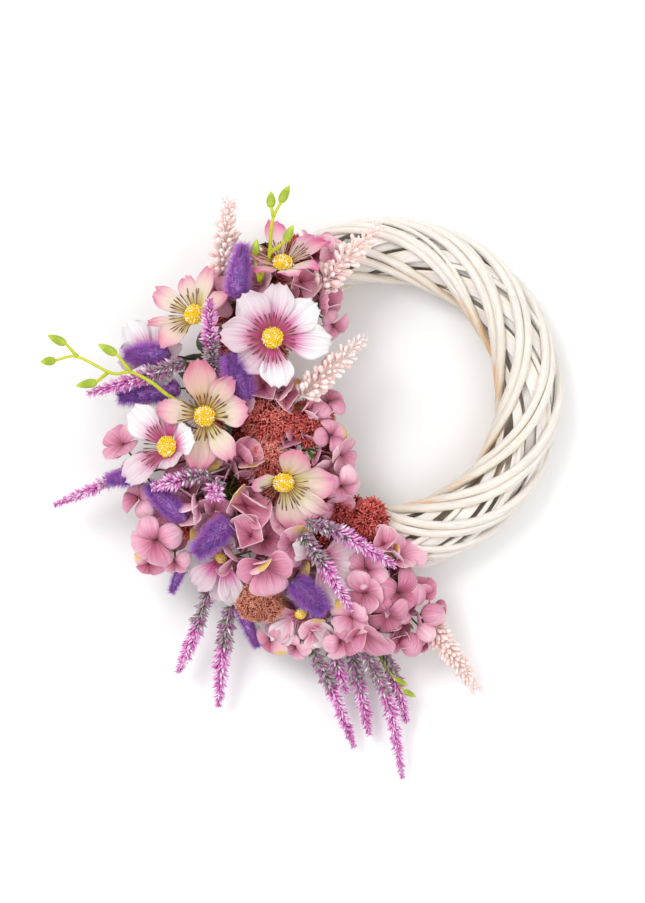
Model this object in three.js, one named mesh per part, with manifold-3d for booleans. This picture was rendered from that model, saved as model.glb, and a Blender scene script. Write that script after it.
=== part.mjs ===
// Willow crescent wreath, lying on its back, built in millimetres with +Z up.
// A ring wound from painted willow rods carries a crescent of moss on its left half. The stems of
// cosmos, hydrangea, bunny tails, lavender, pale flower spikes and bud sprays are pushed into it.
// Places are given from the ring's centre: +X right, +Y up the wreath, +Z away from the wall side.

import * as THREE from 'three';
import { mergeVertices } from 'three/addons/utils/BufferGeometryUtils.js';
import Module from 'manifold-3d';

const wasm = await Module();
wasm.setup();

// Driving dimensions
const RING_RADIUS = 121.7;
const TUBE_LIFT = 27.1;
const ROD_RADIUS = 3.4;
const ROD_REACH = 24.8;
const ROD_COUNT = 4;
const ROD_TURNS = 3;
const ROD_STEPS_PER_TURN = 18;
const PAIRING = 6;
const STRIP_REACH = 17.2;
const STRIP_THICKNESS = 2.6;
const STRIP_WIDTHS = [12.4, 10.4, 7.6];
const STRIP_TURNS = 2;
const STRIP_STEPS_PER_TURN = 20;
const BUNDLE_REACH = 13.4;
const BUNDLE_FURROW = 0.8;
const BUNDLE_LOBES = 4;
const BUNDLE_STEPS = 26;
const ROD_START = 200;
const STRIP_START = 188;
const END_GAP = 2;
const BED_START = 112;
const BED_END = 268;
const BED_PARTS = ['moss_bed_upper', 'moss_bed_middle', 'moss_bed_lower'];
const BED_INNER = 29.2;
const BED_DEPTH = 7;
const BED_SWELL = 0.28;
const BED_CELLS = 6;
const BED_AROUND = [-20, 150];
const BLADE = 0.9;
const CLEARANCE = 0.4;
const SMOOTHING = [0.4, 0.2, 0.05];
const TOUCH = 0.006;
const FULLNESS = [0, 0.01, 0.02, 0.03, 0.04, 0.05, 0.06];
const MERGE = 0.001;
const LEAST_EDGE = 0.0004;
const COSMOS_DOME = 8.6;
const DOME_NECK = 3;
const DOME_RIM = 3.8;
const DOME_SHOULDER = 7.8;
const DOME_TOP = 9;
const COSMOS_STAMEN = 15;
const STAMEN_RADIUS = 1.1;
const STAMEN_ROOT = 4.6;
const STAMEN_TIP = 8;
const CUP_TOP = 0.45;
const CUP_DEPTH = 3.5;
const PETAL_ROOT = 4.4;
const PETAL_DROOP = 0.1;
const COSMOS_STAMENS = 9;
const FLORET_RADIUS = 16;
const FLORET_DIP = 0.62;
const TAIL_RELIEF = 0.06;
const SPRAY_RADIUS = 1.3;
const BUD_RADIUS = 3.4;
const STEM_RADIUS = 1.2;
const GOLDEN_DEGREES = 137.5;
const ORIGIN_SHIFT = [69.5, 77, 0];

const COLOURS = {
  willow: 0xf3eee6,
  willowUnder: 0xd9cfc4,
  willowInner: 0x8b7a6c,
  moss: 0xb9626a,
  clump: 0xb56a55,
  whitePetal: 0xf6ecf2,
  creamPetal: 0xf4d8d4,
  pinkPetal: 0xe9aec6,
  dome: 0xf2c31b,
  hydrangea: 0xcf88a8,
  tail: 0x7a45ae,
  lavender: 0xb765b0,
  palePink: 0xf0c6c8,
  bud: 0x9bb421,
};

const rad = THREE.MathUtils.degToRad;
const vec = (place) => new THREE.Vector3(...place);

/** A repeatable stream of numbers from 0 to 1. */
function drawFrom(seed) {
  let state = seed;
  return () => {
    state = (state * 16807) % 2147483647;
    return state / 2147483647;
  };
}

// Closed skins

/** A geometry from corner points and triangles of their numbers. */
function skin(points, triangles) {
  const geometry = new THREE.BufferGeometry();
  const places = points.flatMap((p) => p.toArray());
  geometry.setAttribute('position', new THREE.Float32BufferAttribute(places, 3));
  geometry.setIndex(triangles.flat());
  return geometry;
}

/** The geometry with nothing but its places, so that shared corners can be joined. */
function withoutShading(geometry) {
  geometry.deleteAttribute('normal');
  geometry.deleteAttribute('uv');
  return geometry;
}

/** A solid from a closed geometry, turned to face outward. */
function solid(geometry) {
  const bare = withoutShading(geometry.clone());
  const half = MERGE / 2;
  const shifted = mergeVertices(bare, MERGE).translate(half, half, half);
  const merged = mergeVertices(shifted, MERGE).translate(-half, -half, -half);
  const corners = merged.index.array;
  const kept = [];
  for (let i = 0; i < corners.length; i += 3) {
    const [a, b, c] = corners.slice(i, i + 3);
    if (a !== b && b !== c && a !== c) kept.push(a, b, c);
  }
  const make = (order) =>
    new wasm.Manifold(
      new wasm.Mesh({
        numProp: 3,
        vertProperties: new Float32Array(merged.attributes.position.array),
        triVerts: new Uint32Array(order),
      }),
    );
  const body = make(kept);
  return body.volume() > 0 ? body : make(kept.reverse());
}

/** A closed skin over rings of points along an axis. A ring of one point is a pointed end. */
function loft(rings) {
  const sides = Math.max(...rings.map((ring) => ring.length));
  const first = [];
  let total = 0;
  for (const ring of rings) {
    first.push(total);
    total += ring.length;
  }
  const corner = (i, j) => first[i] + (rings[i].length === 1 ? 0 : j % sides);
  const triangles = [];
  for (let i = 0; i + 1 < rings.length; i++) {
    for (let j = 0; j < sides; j++) {
      const [near, far] = i % 2 ? [j, j + 1] : [j + 1, j];
      if (rings[i].length > 1) triangles.push([corner(i, j), corner(i, j + 1), corner(i + 1, far)]);
      if (rings[i + 1].length > 1) {
        triangles.push([corner(i, near), corner(i + 1, j + 1), corner(i + 1, j)]);
      }
    }
  }
  const last = rings.length - 1;
  for (let j = 1; j + 1 < sides; j++) {
    if (rings[0].length > 1) triangles.push([corner(0, 0), corner(0, j + 1), corner(0, j)]);
    if (rings[last].length > 1) triangles.push([corner(last, 0), corner(last, j), corner(last, j + 1)]);
  }
  return skin(rings.flat(), triangles);
}

/** The smooth curve through the points, or the line between two. */
function curveThrough(points) {
  return points.length > 2 ? new THREE.CatmullRomCurve3(points) : new THREE.LineCurve3(...points);
}

/**
 * A round stem along a curve through the points. radiusAt takes 0 at the start to 1 at the end, and a
 * radius of 0 gives a point. grow moves every side out by that much.
 */
function tube(points, steps, sides, radiusAt, grow, relief = 0) {
  const curve = curveThrough(points);
  const frames = curve.computeFrenetFrames(steps, false);
  const rings = [];
  for (let i = 0; i <= steps; i++) {
    const centre = curve.getPointAt(i / steps);
    const radius = radiusAt(i / steps);
    const ring = [];
    for (let j = 0; j < (radius > 0 ? sides : 1); j++) {
      const angle = ((j + (i % 2) / 2) / sides) * 2 * Math.PI;
      const reach = radius * (1 + (j % 2 ? relief : -relief)) + grow / Math.cos(Math.PI / sides);
      ring.push(
        centre
          .clone()
          .addScaledVector(frames.normals[i], Math.cos(angle) * reach)
          .addScaledVector(frames.binormals[i], Math.sin(angle) * reach),
      );
    }
    rings.push(ring);
  }
  return solid(loft(rings));
}

/** A closed skin between two grids of points, rows of equal length, split alike on both faces. */
function slab(front, back) {
  const rows = front.length;
  const columns = front[0].length;
  const at = (layer, row, column) => layer * rows * columns + row * columns + column;
  const triangles = [];
  for (let row = 0; row + 1 < rows; row++) {
    for (let column = 0; column + 1 < columns; column++) {
      const corners = (layer) => [
        at(layer, row, column),
        at(layer, row, column + 1),
        at(layer, row + 1, column + 1),
        at(layer, row + 1, column),
      ];
      const [a, b, c, d] = corners(0);
      const [e, f, g, h] = corners(1);
      triangles.push([a, b, c], [a, c, d], [e, g, f], [e, h, g]);
    }
  }
  const rim = [];
  for (let column = 0; column + 1 < columns; column++) rim.push([0, column]);
  for (let row = 0; row + 1 < rows; row++) rim.push([row, columns - 1]);
  for (let column = columns - 1; column > 0; column--) rim.push([rows - 1, column]);
  for (let row = rows - 1; row > 0; row--) rim.push([row, 0]);
  rim.forEach((here, i) => {
    const next = rim[(i + 1) % rim.length];
    triangles.push([at(0, ...here), at(1, ...here), at(1, ...next)]);
    triangles.push([at(0, ...here), at(1, ...next), at(0, ...next)]);
  });
  return skin([...front.flat(), ...back.flat()], triangles);
}

/** A point of a blade's front or back face: half its thickness off the surface, along its normal. */
function offSurface(surface, across, along, distance) {
  const step = 1e-3;
  const toSide = surface(across + step, along).sub(surface(across - step, along));
  const toTip = surface(across, along + step).sub(surface(across, along - step));
  return surface(across, along).addScaledVector(toSide.cross(toTip).normalize(), distance);
}

/** The place that lies further on from one point past another. */
function beyond(from, to, extra) {
  return to.clone().addScaledVector(to.clone().sub(from).normalize(), extra);
}

/** All the solids as one body. */
function fuse(solids) {
  return wasm.Manifold.union(solids);
}

/** The biggest single body of a solid. */
function biggest(body) {
  return body.decompose().reduce((best, piece) => (piece.volume() > best.volume() ? piece : best));
}

/** The geometry of a solid. */
function meshOf(body) {
  const { vertProperties, triVerts } = body.getMesh();
  const geometry = new THREE.BufferGeometry();
  geometry.setAttribute('position', new THREE.BufferAttribute(vertProperties, 3));
  geometry.setIndex(new THREE.BufferAttribute(triVerts, 1));
  return geometry;
}

// The ring

/** A place in the ring's tube, from degrees round the ring, degrees round the tube and a reach. */
function onTube(turn, around, reach) {
  const out = RING_RADIUS + reach * Math.cos(rad(around));
  const height = TUBE_LIFT + reach * Math.sin(rad(around));
  return vec([out * Math.cos(rad(turn)), out * Math.sin(rad(turn)), height]);
}

/** A rod laid round the tube: centreAt gives each station, outline its section as [sideways, outward]. */
function rod(steps, centreAt, hubAt, outline) {
  const rings = [];
  for (let i = 0; i <= steps; i++) {
    const centre = centreAt(i / steps);
    const ahead = centreAt((i + 0.05) / steps).sub(centreAt((i - 0.05) / steps)).normalize();
    const outward = centre.clone().sub(hubAt(i / steps));
    outward.addScaledVector(ahead, -outward.dot(ahead)).normalize();
    const sideways = outward.clone().cross(ahead);
    rings.push(
      outline.map(([across, out]) =>
        centre.clone().addScaledVector(sideways, across).addScaledVector(outward, out),
      ),
    );
  }
  return solid(loft(rings));
}

/** The corners of an oval section, with a flat side facing out. */
function oval(corners, halfWidth, halfThickness) {
  return Array.from({ length: corners }, (_, j) => {
    const angle = Math.PI / 2 + ((j + 0.5) / corners) * 2 * Math.PI;
    return [halfWidth * Math.cos(angle), halfThickness * Math.sin(angle)];
  });
}

/** An outer rod: three turns of the ring, two and a bit windings round the tube on each. */
function outerRod(index) {
  const strands = ROD_COUNT * ROD_TURNS;
  const sweep = ROD_TURNS * 360 - 2 * END_GAP;
  const turnAt = (f) => ROD_START - END_GAP - f * sweep;
  const aroundAt = (f) => {
    const slot = index * ROD_TURNS + (f * sweep) / 360;
    const winding = 2 + 1 / strands;
    return (index * 360) / ROD_COUNT + winding * f * sweep + PAIRING * Math.cos(Math.PI * slot);
  };
  return rod(
    ROD_TURNS * ROD_STEPS_PER_TURN,
    (f) => onTube(turnAt(f), aroundAt(f), ROD_REACH),
    (f) => onTube(turnAt(f), 0, 0),
    oval(5, ROD_RADIUS, ROD_RADIUS),
  );
}

/** A split, flat rod of the layer beneath, wound the other way. */
function underStrip(index) {
  const strands = STRIP_WIDTHS.length * STRIP_TURNS;
  const sweep = STRIP_TURNS * 360 - 2 * END_GAP;
  const winding = 2 - 1 / strands;
  const turnAt = (f) => STRIP_START - f * sweep;
  const aroundAt = (f) => (-index * 360) / STRIP_WIDTHS.length - winding * f * sweep;
  return rod(
    STRIP_TURNS * STRIP_STEPS_PER_TURN,
    (f) => onTube(turnAt(f), aroundAt(f), STRIP_REACH),
    (f) => onTube(turnAt(f), 0, 0),
    oval(4, STRIP_WIDTHS[index] / Math.SQRT2, STRIP_THICKNESS / Math.SQRT2),
  );
}

/** The straight rods in the middle, as one bundle with a lobe for each. */
function innerBundle() {
  const steps = BUNDLE_STEPS;
  const corners = 2 * BUNDLE_LOBES;
  const rings = [];
  for (let i = 0; i < steps; i++) {
    const ring = [];
    for (let j = 0; j < corners; j++) {
      const reach = BUNDLE_REACH * (j % 2 ? BUNDLE_FURROW : 1);
      ring.push(onTube((-i * 360) / steps, ((j + (2 * i) / steps) * 360) / corners, reach));
    }
    rings.push(ring);
  }
  const points = rings.flat();
  const triangles = [];
  for (let i = 0; i < steps; i++) {
    const shift = i === steps - 1 ? 2 : 0;
    const next = (i + 1) % steps;
    for (let j = 0; j < corners; j++) {
      const a = i * corners + j;
      const b = i * corners + ((j + 1) % corners);
      const c = next * corners + ((j + 1 + shift) % corners);
      const d = next * corners + ((j + shift) % corners);
      triangles.push([a, b, c], [a, c, d]);
    }
  }
  return solid(skin(points, triangles));
}

// Moss

/** A part of the moss crescent: it wraps the ring's front and outer side and swells in tufts. */
function mossBed(part, grow) {
  const length = (BED_END - BED_START) / BED_PARTS.length;
  const start = BED_START + part * length + CLEARANCE / 4;
  const rows = BED_CELLS;
  const columns = BED_CELLS;
  const [from, to] = BED_AROUND;
  const grid = (reachAt) =>
    Array.from({ length: rows + 1 }, (_, row) =>
      Array.from({ length: columns + 1 }, (_, column) => {
        const turn = start + ((length - CLEARANCE / 2) * row) / rows;
        const around = from + ((to - from) * column) / columns;
        return onTube(turn, around, reachAt(turn, around));
      }),
    );
  const wave = (turn, around) => Math.sin(turn * 0.9 + around * 1.3) * Math.cos(around * 0.21);
  const swell = (turn, around) => 1 - BED_SWELL + BED_SWELL * wave(turn, around);
  const outside = grid((turn, around) => BED_INNER + BED_DEPTH * swell(turn, around) + grow);
  return solid(slab(outside, grid(() => BED_INNER)));
}

/** A clump of moss: a low ball with its surface drawn out in points. */
function mossClump({ at, wide, tall, seed }, grow) {
  const draw = drawFrom(seed);
  const ball = mergeVertices(withoutShading(new THREE.IcosahedronGeometry(1, 1)));
  const position = ball.attributes.position;
  for (let i = 0; i < position.count; i++) {
    const reach = 0.84 + 0.3 * draw();
    const point = new THREE.Vector3().fromBufferAttribute(position, i).multiplyScalar(reach);
    const height = point.z > 0 ? tall + grow : 1;
    point.multiply(vec([wide + grow, wide + grow, height])).add(vec(at));
    position.setXYZ(i, point.x, point.y, point.z);
  }
  return solid(ball);
}

// Stems

/** The place in the moss bed nearest to a point, where its stem is pushed in. */
function anchor(point) {
  const turn = (THREE.MathUtils.radToDeg(Math.atan2(point.y, point.x)) + 360) % 360;
  const held = THREE.MathUtils.clamp(turn, BED_START + 4, BED_END - 4);
  const hub = onTube(held, 0, 0);
  const outward = vec([Math.cos(rad(held)), Math.sin(rad(held)), 0]);
  const offset = point.clone().sub(hub);
  const around = THREE.MathUtils.radToDeg(Math.atan2(offset.z, offset.dot(outward)));
  return onTube(held, THREE.MathUtils.clamp(around, 0, 140), BED_INNER + 2);
}

/** A straight stem from a point into the moss bed. */
function stemFrom(point, grow, radius = STEM_RADIUS) {
  return tube([point, anchor(point)], 1, 3, () => radius, grow);
}

/** Right, up and facing directions of a flower that faces a direction. */
function facing(direction) {
  const face = vec(direction).normalize();
  const right = vec([0, 1, 0]).cross(face).normalize();
  return { face, right, up: face.clone().cross(right) };
}

/** The direction in a flower's own plane at an angle from its right. */
function spoke(frame, angle) {
  return frame.right.clone().multiplyScalar(Math.cos(angle)).addScaledVector(frame.up, Math.sin(angle));
}

// Cosmos

/** The surface of a cosmos petal: narrow at its root, broad and notched at its tip, its edges lifted. */
function cosmosPetal(centre, frame, { degrees, length, width, lift, edge }, grow) {
  const radial = spoke(frame, rad(degrees));
  const sideways = frame.face.clone().cross(radial);
  const broad = (along) => Math.sin(Math.PI * (0.025 + 0.7 * Math.max(0, along) ** 1.2));
  const halfWidth = (along) => (width / 2) * broad(along) + (along > 0.1 ? grow : 0);
  return (across, along) => {
    const notch = along > 0.9 ? 0.04 * Math.abs(across) * length : 0;
    const out = PETAL_ROOT + (length + grow - PETAL_ROOT - notch) * along * Math.cos(rad(lift));
    const slope = Math.sin(rad(lift)) * along - PETAL_DROOP * along ** 3;
    const rise = length * slope + edge * width * across ** 2 * along;
    return centre
      .clone()
      .addScaledVector(radial, out)
      .addScaledVector(sideways, across * halfWidth(along))
      .addScaledVector(frame.face, rise);
  };
}

/**
 * The petals of one cosmos as one skin round their cup. Each petal is its degrees, its length, its
 * share of the flower's petal width and how much more it lifts. Every other petal lies higher.
 */
function cosmosPetals({ at, face, petals, width, lift = 9, rows = 3 }, grow) {
  const centre = vec(at);
  const frame = facing(face);
  const half = BLADE / 2 + grow;
  const points = [
    centre.clone().addScaledVector(frame.face, half),
    centre.clone().addScaledVector(frame.face, -CUP_DEPTH - grow),
  ];
  const triangles = [];
  const sorted = [...petals].sort((a, b) => a[0] - b[0]);
  const count = sorted.length;
  const perPetal = 6 * (rows + 1);
  const at2 = (petal, side, row, column) =>
    2 + (petal % count) * perPetal + side * 3 * (rows + 1) + row * 3 + column;
  sorted.forEach(([degrees, length, share = 1, tilt = 0], petal) => {
    const layer = petal === count - 1 && petal % 2 === 0 ? 2 : petal % 2;
    const lifted = lift + tilt + 5 * layer;
    const shape = { degrees, length, width: width * share, lift: lifted, edge: 0.02 + 0.08 * layer };
    const surface = cosmosPetal(centre, frame, shape, grow);
    for (const side of [half, -half]) {
      for (let row = 0; row <= rows; row++) {
        for (const across of [-1, 0, 1]) points.push(offSurface(surface, across, row / rows, side));
      }
    }
    const front = (row, column) => at2(petal, 0, row, column);
    const back = (row, column) => at2(petal, 1, row, column);
    for (let column = 0; column < 2; column++) {
      triangles.push([0, front(0, column), front(0, column + 1)]);
      triangles.push([1, back(0, column + 1), back(0, column)]);
      for (let row = 0; row < rows; row++) {
        const cell = [[0, 0], [0, 1], [1, 1], [1, 0]].map(([down, right]) => [row + down, column + right]);
        const [a, b, c, d] = cell.map((place) => front(...place));
        const [e, f, g, h] = cell.map((place) => back(...place));
        triangles.push([a, c, b], [a, d, c], [e, f, g], [e, g, h]);
      }
    }
    const rim = [];
    for (let row = 0; row < rows; row++) rim.push([row, 0]);
    for (let column = 0; column < 2; column++) rim.push([rows, column]);
    for (let row = rows; row >= 0; row--) rim.push([row, 2]);
    for (let i = 0; i + 1 < rim.length; i++) {
      const [here, next] = [rim[i], rim[i + 1]];
      triangles.push([front(...here), back(...here), back(...next)]);
      triangles.push([front(...here), back(...next), front(...next)]);
    }
    const [from, to] = [[petal, 2], [petal + 1, 0]];
    const corner = (side, [which, column]) => at2(which, side, 0, column);
    triangles.push([0, corner(0, from), corner(0, to)], [1, corner(1, to), corner(1, from)]);
    triangles.push([corner(0, from), corner(1, from), corner(1, to)]);
    triangles.push([corner(0, from), corner(1, to), corner(0, to)]);
  });
  return solid(skin(points, triangles));
}

/** The yellow dome of one cosmos on its neck, in its ring of stamens. */
function cosmosCentre({ at, face }, grow) {
  const centre = vec(at);
  const frame = facing(face);
  const foot = CUP_TOP + CLEARANCE - grow;
  const profile = [
    [0, foot],
    [DOME_NECK + grow, foot],
    [COSMOS_DOME + grow, DOME_RIM - grow],
    [COSMOS_DOME * 0.65 + grow, DOME_SHOULDER],
    [0, DOME_TOP + grow],
  ];
  const dome = new THREE.LatheGeometry(profile.map((p) => new THREE.Vector2(...p)), 8);
  const upright = new THREE.Quaternion().setFromUnitVectors(vec([0, 1, 0]), frame.face);
  dome.applyQuaternion(upright).translate(...at);
  const stamens = [];
  for (let i = 0; i < COSMOS_STAMENS; i++) {
    const radial = spoke(frame, (i / COSMOS_STAMENS) * 2 * Math.PI);
    const [root, tip] = [
      [COSMOS_DOME * 0.6, STAMEN_ROOT],
      [COSMOS_STAMEN, STAMEN_TIP],
    ].map(([out, up]) => centre.clone().addScaledVector(radial, out).addScaledVector(frame.face, up));
    const thickness = (f) => (f < 1 ? STAMEN_RADIUS : 0);
    stamens.push(tube([root, beyond(root, tip, 3 * grow)], 1, 3, thickness, grow));
  }
  const stem = stemFrom(centre.clone().addScaledVector(frame.face, 2), grow, 1.6);
  return fuse([solid(dome), stem, ...stamens]);
}

// Hydrangea

/** One floret: a shallow cup with four lobes round its rim. */
function floret(centre, direction, radius, cup, spin, grow) {
  const frame = facing(direction);
  const lobe = [FLORET_DIP, 1];
  const thickness = BLADE + 3 * grow;
  const middle = centre.clone();
  const points = [
    middle.clone().addScaledVector(frame.face, thickness / 2),
    middle.clone().addScaledVector(frame.face, -thickness / 2),
  ];
  const triangles = [];
  const corners = 8;
  for (let i = 0; i < corners; i++) {
    const angle = rad(spin) + (i / corners) * 2 * Math.PI;
    const reach = radius * lobe[i % 2] + 1.4 * grow;
    const radial = spoke(frame, angle);
    const rim = middle
      .clone()
      .addScaledVector(radial, reach)
      .addScaledVector(frame.face, cup * reach * lobe[i % 2]);
    const slope = frame.face.clone().addScaledVector(radial, -cup).normalize();
    points.push(rim.clone().addScaledVector(slope, thickness / 2));
    points.push(rim.clone().addScaledVector(slope, -thickness / 2));
    const [top, low] = [2 + 2 * i, 3 + 2 * i];
    const [nextTop, nextLow] = [2 + 2 * ((i + 1) % corners), 3 + 2 * ((i + 1) % corners)];
    triangles.push([0, top, nextTop], [1, nextLow, low], [top, low, nextLow], [top, nextLow, nextTop]);
  }
  return solid(skin(points, triangles));
}

/** A hydrangea head: its core in the moss and a stalk to each floret. */
function hydrangeaHead({ core, size = 11, florets, cup = 0.5, seed }, grow) {
  const draw = drawFrom(seed);
  const heart = vec(core);
  const knob = new THREE.IcosahedronGeometry(size + grow, 0);
  knob.scale(1, 1, 0.7).translate(...core);
  const pieces = [solid(knob), stemFrom(heart, grow, 2)];
  for (const [x, y, z, radius = FLORET_RADIUS] of florets) {
    const centre = vec([x, y, z]);
    const outward = centre.clone().sub(heart).normalize().add(vec([0, 0, 0.5]));
    const depth = cup * (0.8 + 0.5 * draw());
    pieces.push(floret(centre, outward.toArray(), radius, depth, 360 * draw(), grow));
    pieces.push(tube([heart, beyond(heart, centre, 0.2)], 1, 3, () => STEM_RADIUS, grow));
  }
  return fuse(pieces);
}

// Bunny tails

/** Bunny tails on stems: each a soft oval head drawn out in tufts. */
function bunnyTails({ heads, joint = heads[0].base }, grow) {
  const pieces = [stemFrom(vec(joint), grow)];
  const plump = (f) => Math.sin(Math.PI * Math.min(1, 0.14 + 0.86 * f)) ** 0.75;
  for (const { base, tip, radius } of heads) {
    const from = vec(base);
    const to = vec(tip);
    const plumpness = (f) => (f < 1 ? radius * plump(f) : 0);
    const ends = [beyond(to, from, grow), beyond(from, to, 1.5 * grow)];
    pieces.push(tube(ends, 5, 8, plumpness, grow, TAIL_RELIEF));
    pieces.push(tube([vec(joint), beyond(to, from, -2)], 1, 3, () => STEM_RADIUS, grow));
  }
  return fuse(pieces);
}

// Spikes

/** A flower spike: a thin stalk with pointed buds set round it, closer to the stalk at the tip. */
function spike({ path, width, spacing, budRadius }, grow) {
  const points = path.map(vec);
  const curve = curveThrough(points);
  const length = curve.getLength();
  const pieces = [tube(points, 3, 3, (f) => 1.8 - 0.8 * f, grow)];
  const count = Math.round(length / spacing);
  const frames = curve.computeFrenetFrames(count, false);
  for (let i = 0; i < count; i++) {
    const f = (i + 0.3) / count;
    const root = curve.getPointAt(f);
    const angle = i * rad(GOLDEN_DEGREES);
    const out = frames.normals[i]
      .clone()
      .multiplyScalar(Math.cos(angle))
      .addScaledVector(frames.binormals[i], Math.sin(angle));
    const reach = (width / 2) * (1 - 0.55 * f);
    const tip = root.clone().addScaledVector(out, reach).addScaledVector(frames.tangents[i], reach * 1.1);
    const swell = (t) => (t === 0.5 ? budRadius : 0);
    pieces.push(tube([root, beyond(root, tip, 2 * grow)], 2, 3, swell, grow));
  }
  return fuse(pieces);
}

/** The spikes of one bunch, their stems joined at one place and pushed into the moss from there. */
function spikeBunch({ spikes, joint, ...habit }, grow) {
  const pieces = [stemFrom(vec(joint ?? spikes[0][0]), grow, 1.8)];
  for (const path of spikes) {
    pieces.push(spike({ path, ...habit }, grow));
    if (joint) pieces.push(tube([vec(joint), vec(path[0])], 1, 3, () => 1.7, grow));
  }
  return fuse(pieces);
}

/** A spray of green buds: forked stems with a pointed bud at each tip. */
function budSpray({ stems }, grow) {
  const pieces = [stemFrom(vec(stems[0][0]), grow)];
  for (const path of stems) {
    const points = path.map(vec);
    const bare = points.length - 1;
    pieces.push(tube(points.slice(0, bare), bare === 2 ? 1 : bare + 1, 3, () => SPRAY_RADIUS, grow));
    const budBase = points[bare - 1];
    const shape = [0.5, 1, 0.75, 0];
    const round = (f) => BUD_RADIUS * shape[Math.round(f * 3)];
    const ends = [beyond(points[bare], budBase, 1 + grow), beyond(budBase, points[bare], grow)];
    pieces.push(tube(ends, 3, 5, round, grow));
  }
  return fuse(pieces);
}

// The arrangement

const COSMOS = {
  cosmos_front: {
    at: [-94, 45, 100],
    face: [0.05, 0, 1],
    width: 31,
    petals: [[125, 43], [83, 45], [38, 46], [-7, 49], [-85, 41], [-135, 36], [175, 43]],
    colour: COLOURS.whitePetal,
  },
  cosmos_left: {
    at: [-179, -45, 90],
    face: [-0.5, 0.12, 0.78],
    width: 28,
    petals: [[138, 44, 1.1], [87, 40, 0.85], [16, 29], [222, 44], [-66, 18]],
    colour: COLOURS.whitePetal,
  },
  cosmos_middle: {
    at: [-150, -19, 96],
    face: [0, -0.12, 1],
    width: 29,
    petals: [[97, 47], [58, 40, 0.7], [12, 36], [-58, 42, 0.8], [-96, 46], [172, 40, 0.8]],
    colour: COLOURS.creamPetal,
  },
  cosmos_upper_left: {
    at: [-157, 63, 88],
    face: [-0.45, 0.35, 0.82],
    width: 25,
    petals: [[156, 44], [112, 39, 0.9], [74, 41, 0.9], [34, 32, 0.8], [195, 42, 0.6, 4], [232, 38]],
    colour: COLOURS.creamPetal,
  },
  cosmos_top: {
    at: [-86, 104, 92],
    face: [0.05, 0.8, 0.6],
    width: 24,
    petals: [
      [98, 42, 0.9], [50, 42, 0.9], [20, 40, 0.9], [-30, 30, 0.8, 8], [-80, 34, 1, 10], [-135, 36, 0.6, 6],
      [180, 28],
    ],
    colour: COLOURS.pinkPetal,
  },
  cosmos_lower: {
    at: [-85, -72, 92],
    face: [0, -0.55, 0.8],
    width: 29,
    petals: [[67, 37], [4, 42], [-38, 45, 0.8], [-79, 44], [166, 26, 0.7, 8]],
    colour: COLOURS.creamPetal,
  },
};

const HIDDEN_COSMOS = {
  cosmos_low_left: {
    at: [-136.6, -136.3, 66.4],
    face: [-0.3, -0.5, 0.8],
    petals: [[222, 36], [-102, 42, 0.8], [-78, 44], [62, 26, 0.6]],
    colour: COLOURS.whitePetal,
  },
  cosmos_far_left: {
    at: [-193, 28, 66],
    face: [-0.3, 0.3, 0.9],
    petals: [[132, 38], [95, 32], [180, 30], [30, 26], [-60, 26]],
    colour: COLOURS.whitePetal,
  },
  cosmos_low_right: {
    at: [-57, -137, 72],
    face: [0.3, 0.1, 1],
    petals: [[18, 38], [-34, 42], [-74, 42], [150, 24]],
    colour: COLOURS.pinkPetal,
  },
  cosmos_bottom: {
    at: [-71, -183, 60],
    face: [0, -0.5, 0.8],
    petals: [[184, 28], [224, 34], [-84, 28], [-44, 36], [60, 24]],
    colour: COLOURS.pinkPetal,
  },
};

const BUD_SPRAYS = {
  bud_spray_top: {
    stems: [
      [[-105, 92, 88], [-97, 112, 98], [-95, 133, 106], [-93, 144, 108], [-87, 156, 108], [-80, 170, 106]],
      [[-93, 144, 108], [-95, 152, 108], [-95, 165, 106]],
      [[-96, 115, 99], [-83, 124, 106], [-77, 137, 108]],
      [[-105, 92, 88], [-109, 111, 96], [-107, 126, 100]],
    ],
  },
  bud_spray_left: {
    stems: [
      [
        [-161, -12, 92],
        [-179, -3, 99],
        [-193, 8, 99],
        [-211, 17, 95],
        [-227, 16, 89],
        [-256, 30, 80],
        [-275, 27, 76],
        [-287, 26, 74],
      ],
      [[-256, 30, 80], [-266, 41, 78], [-281, 48, 74]],
      [[-211, 17, 95], [-223, 32, 92], [-238, 40, 88]],
      [[-230, 17, 88], [-240, 9, 84], [-257, 6, 78]],
    ],
  },
  bud_spray_bottom: {
    stems: [
      [[-11, -207, 36], [-1, -228, 34], [8, -240, 32], [19, -246, 30]],
      [[-2, -226, 34.6], [16, -251, 28], [26, -256, 26]],
    ],
  },
};

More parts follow.
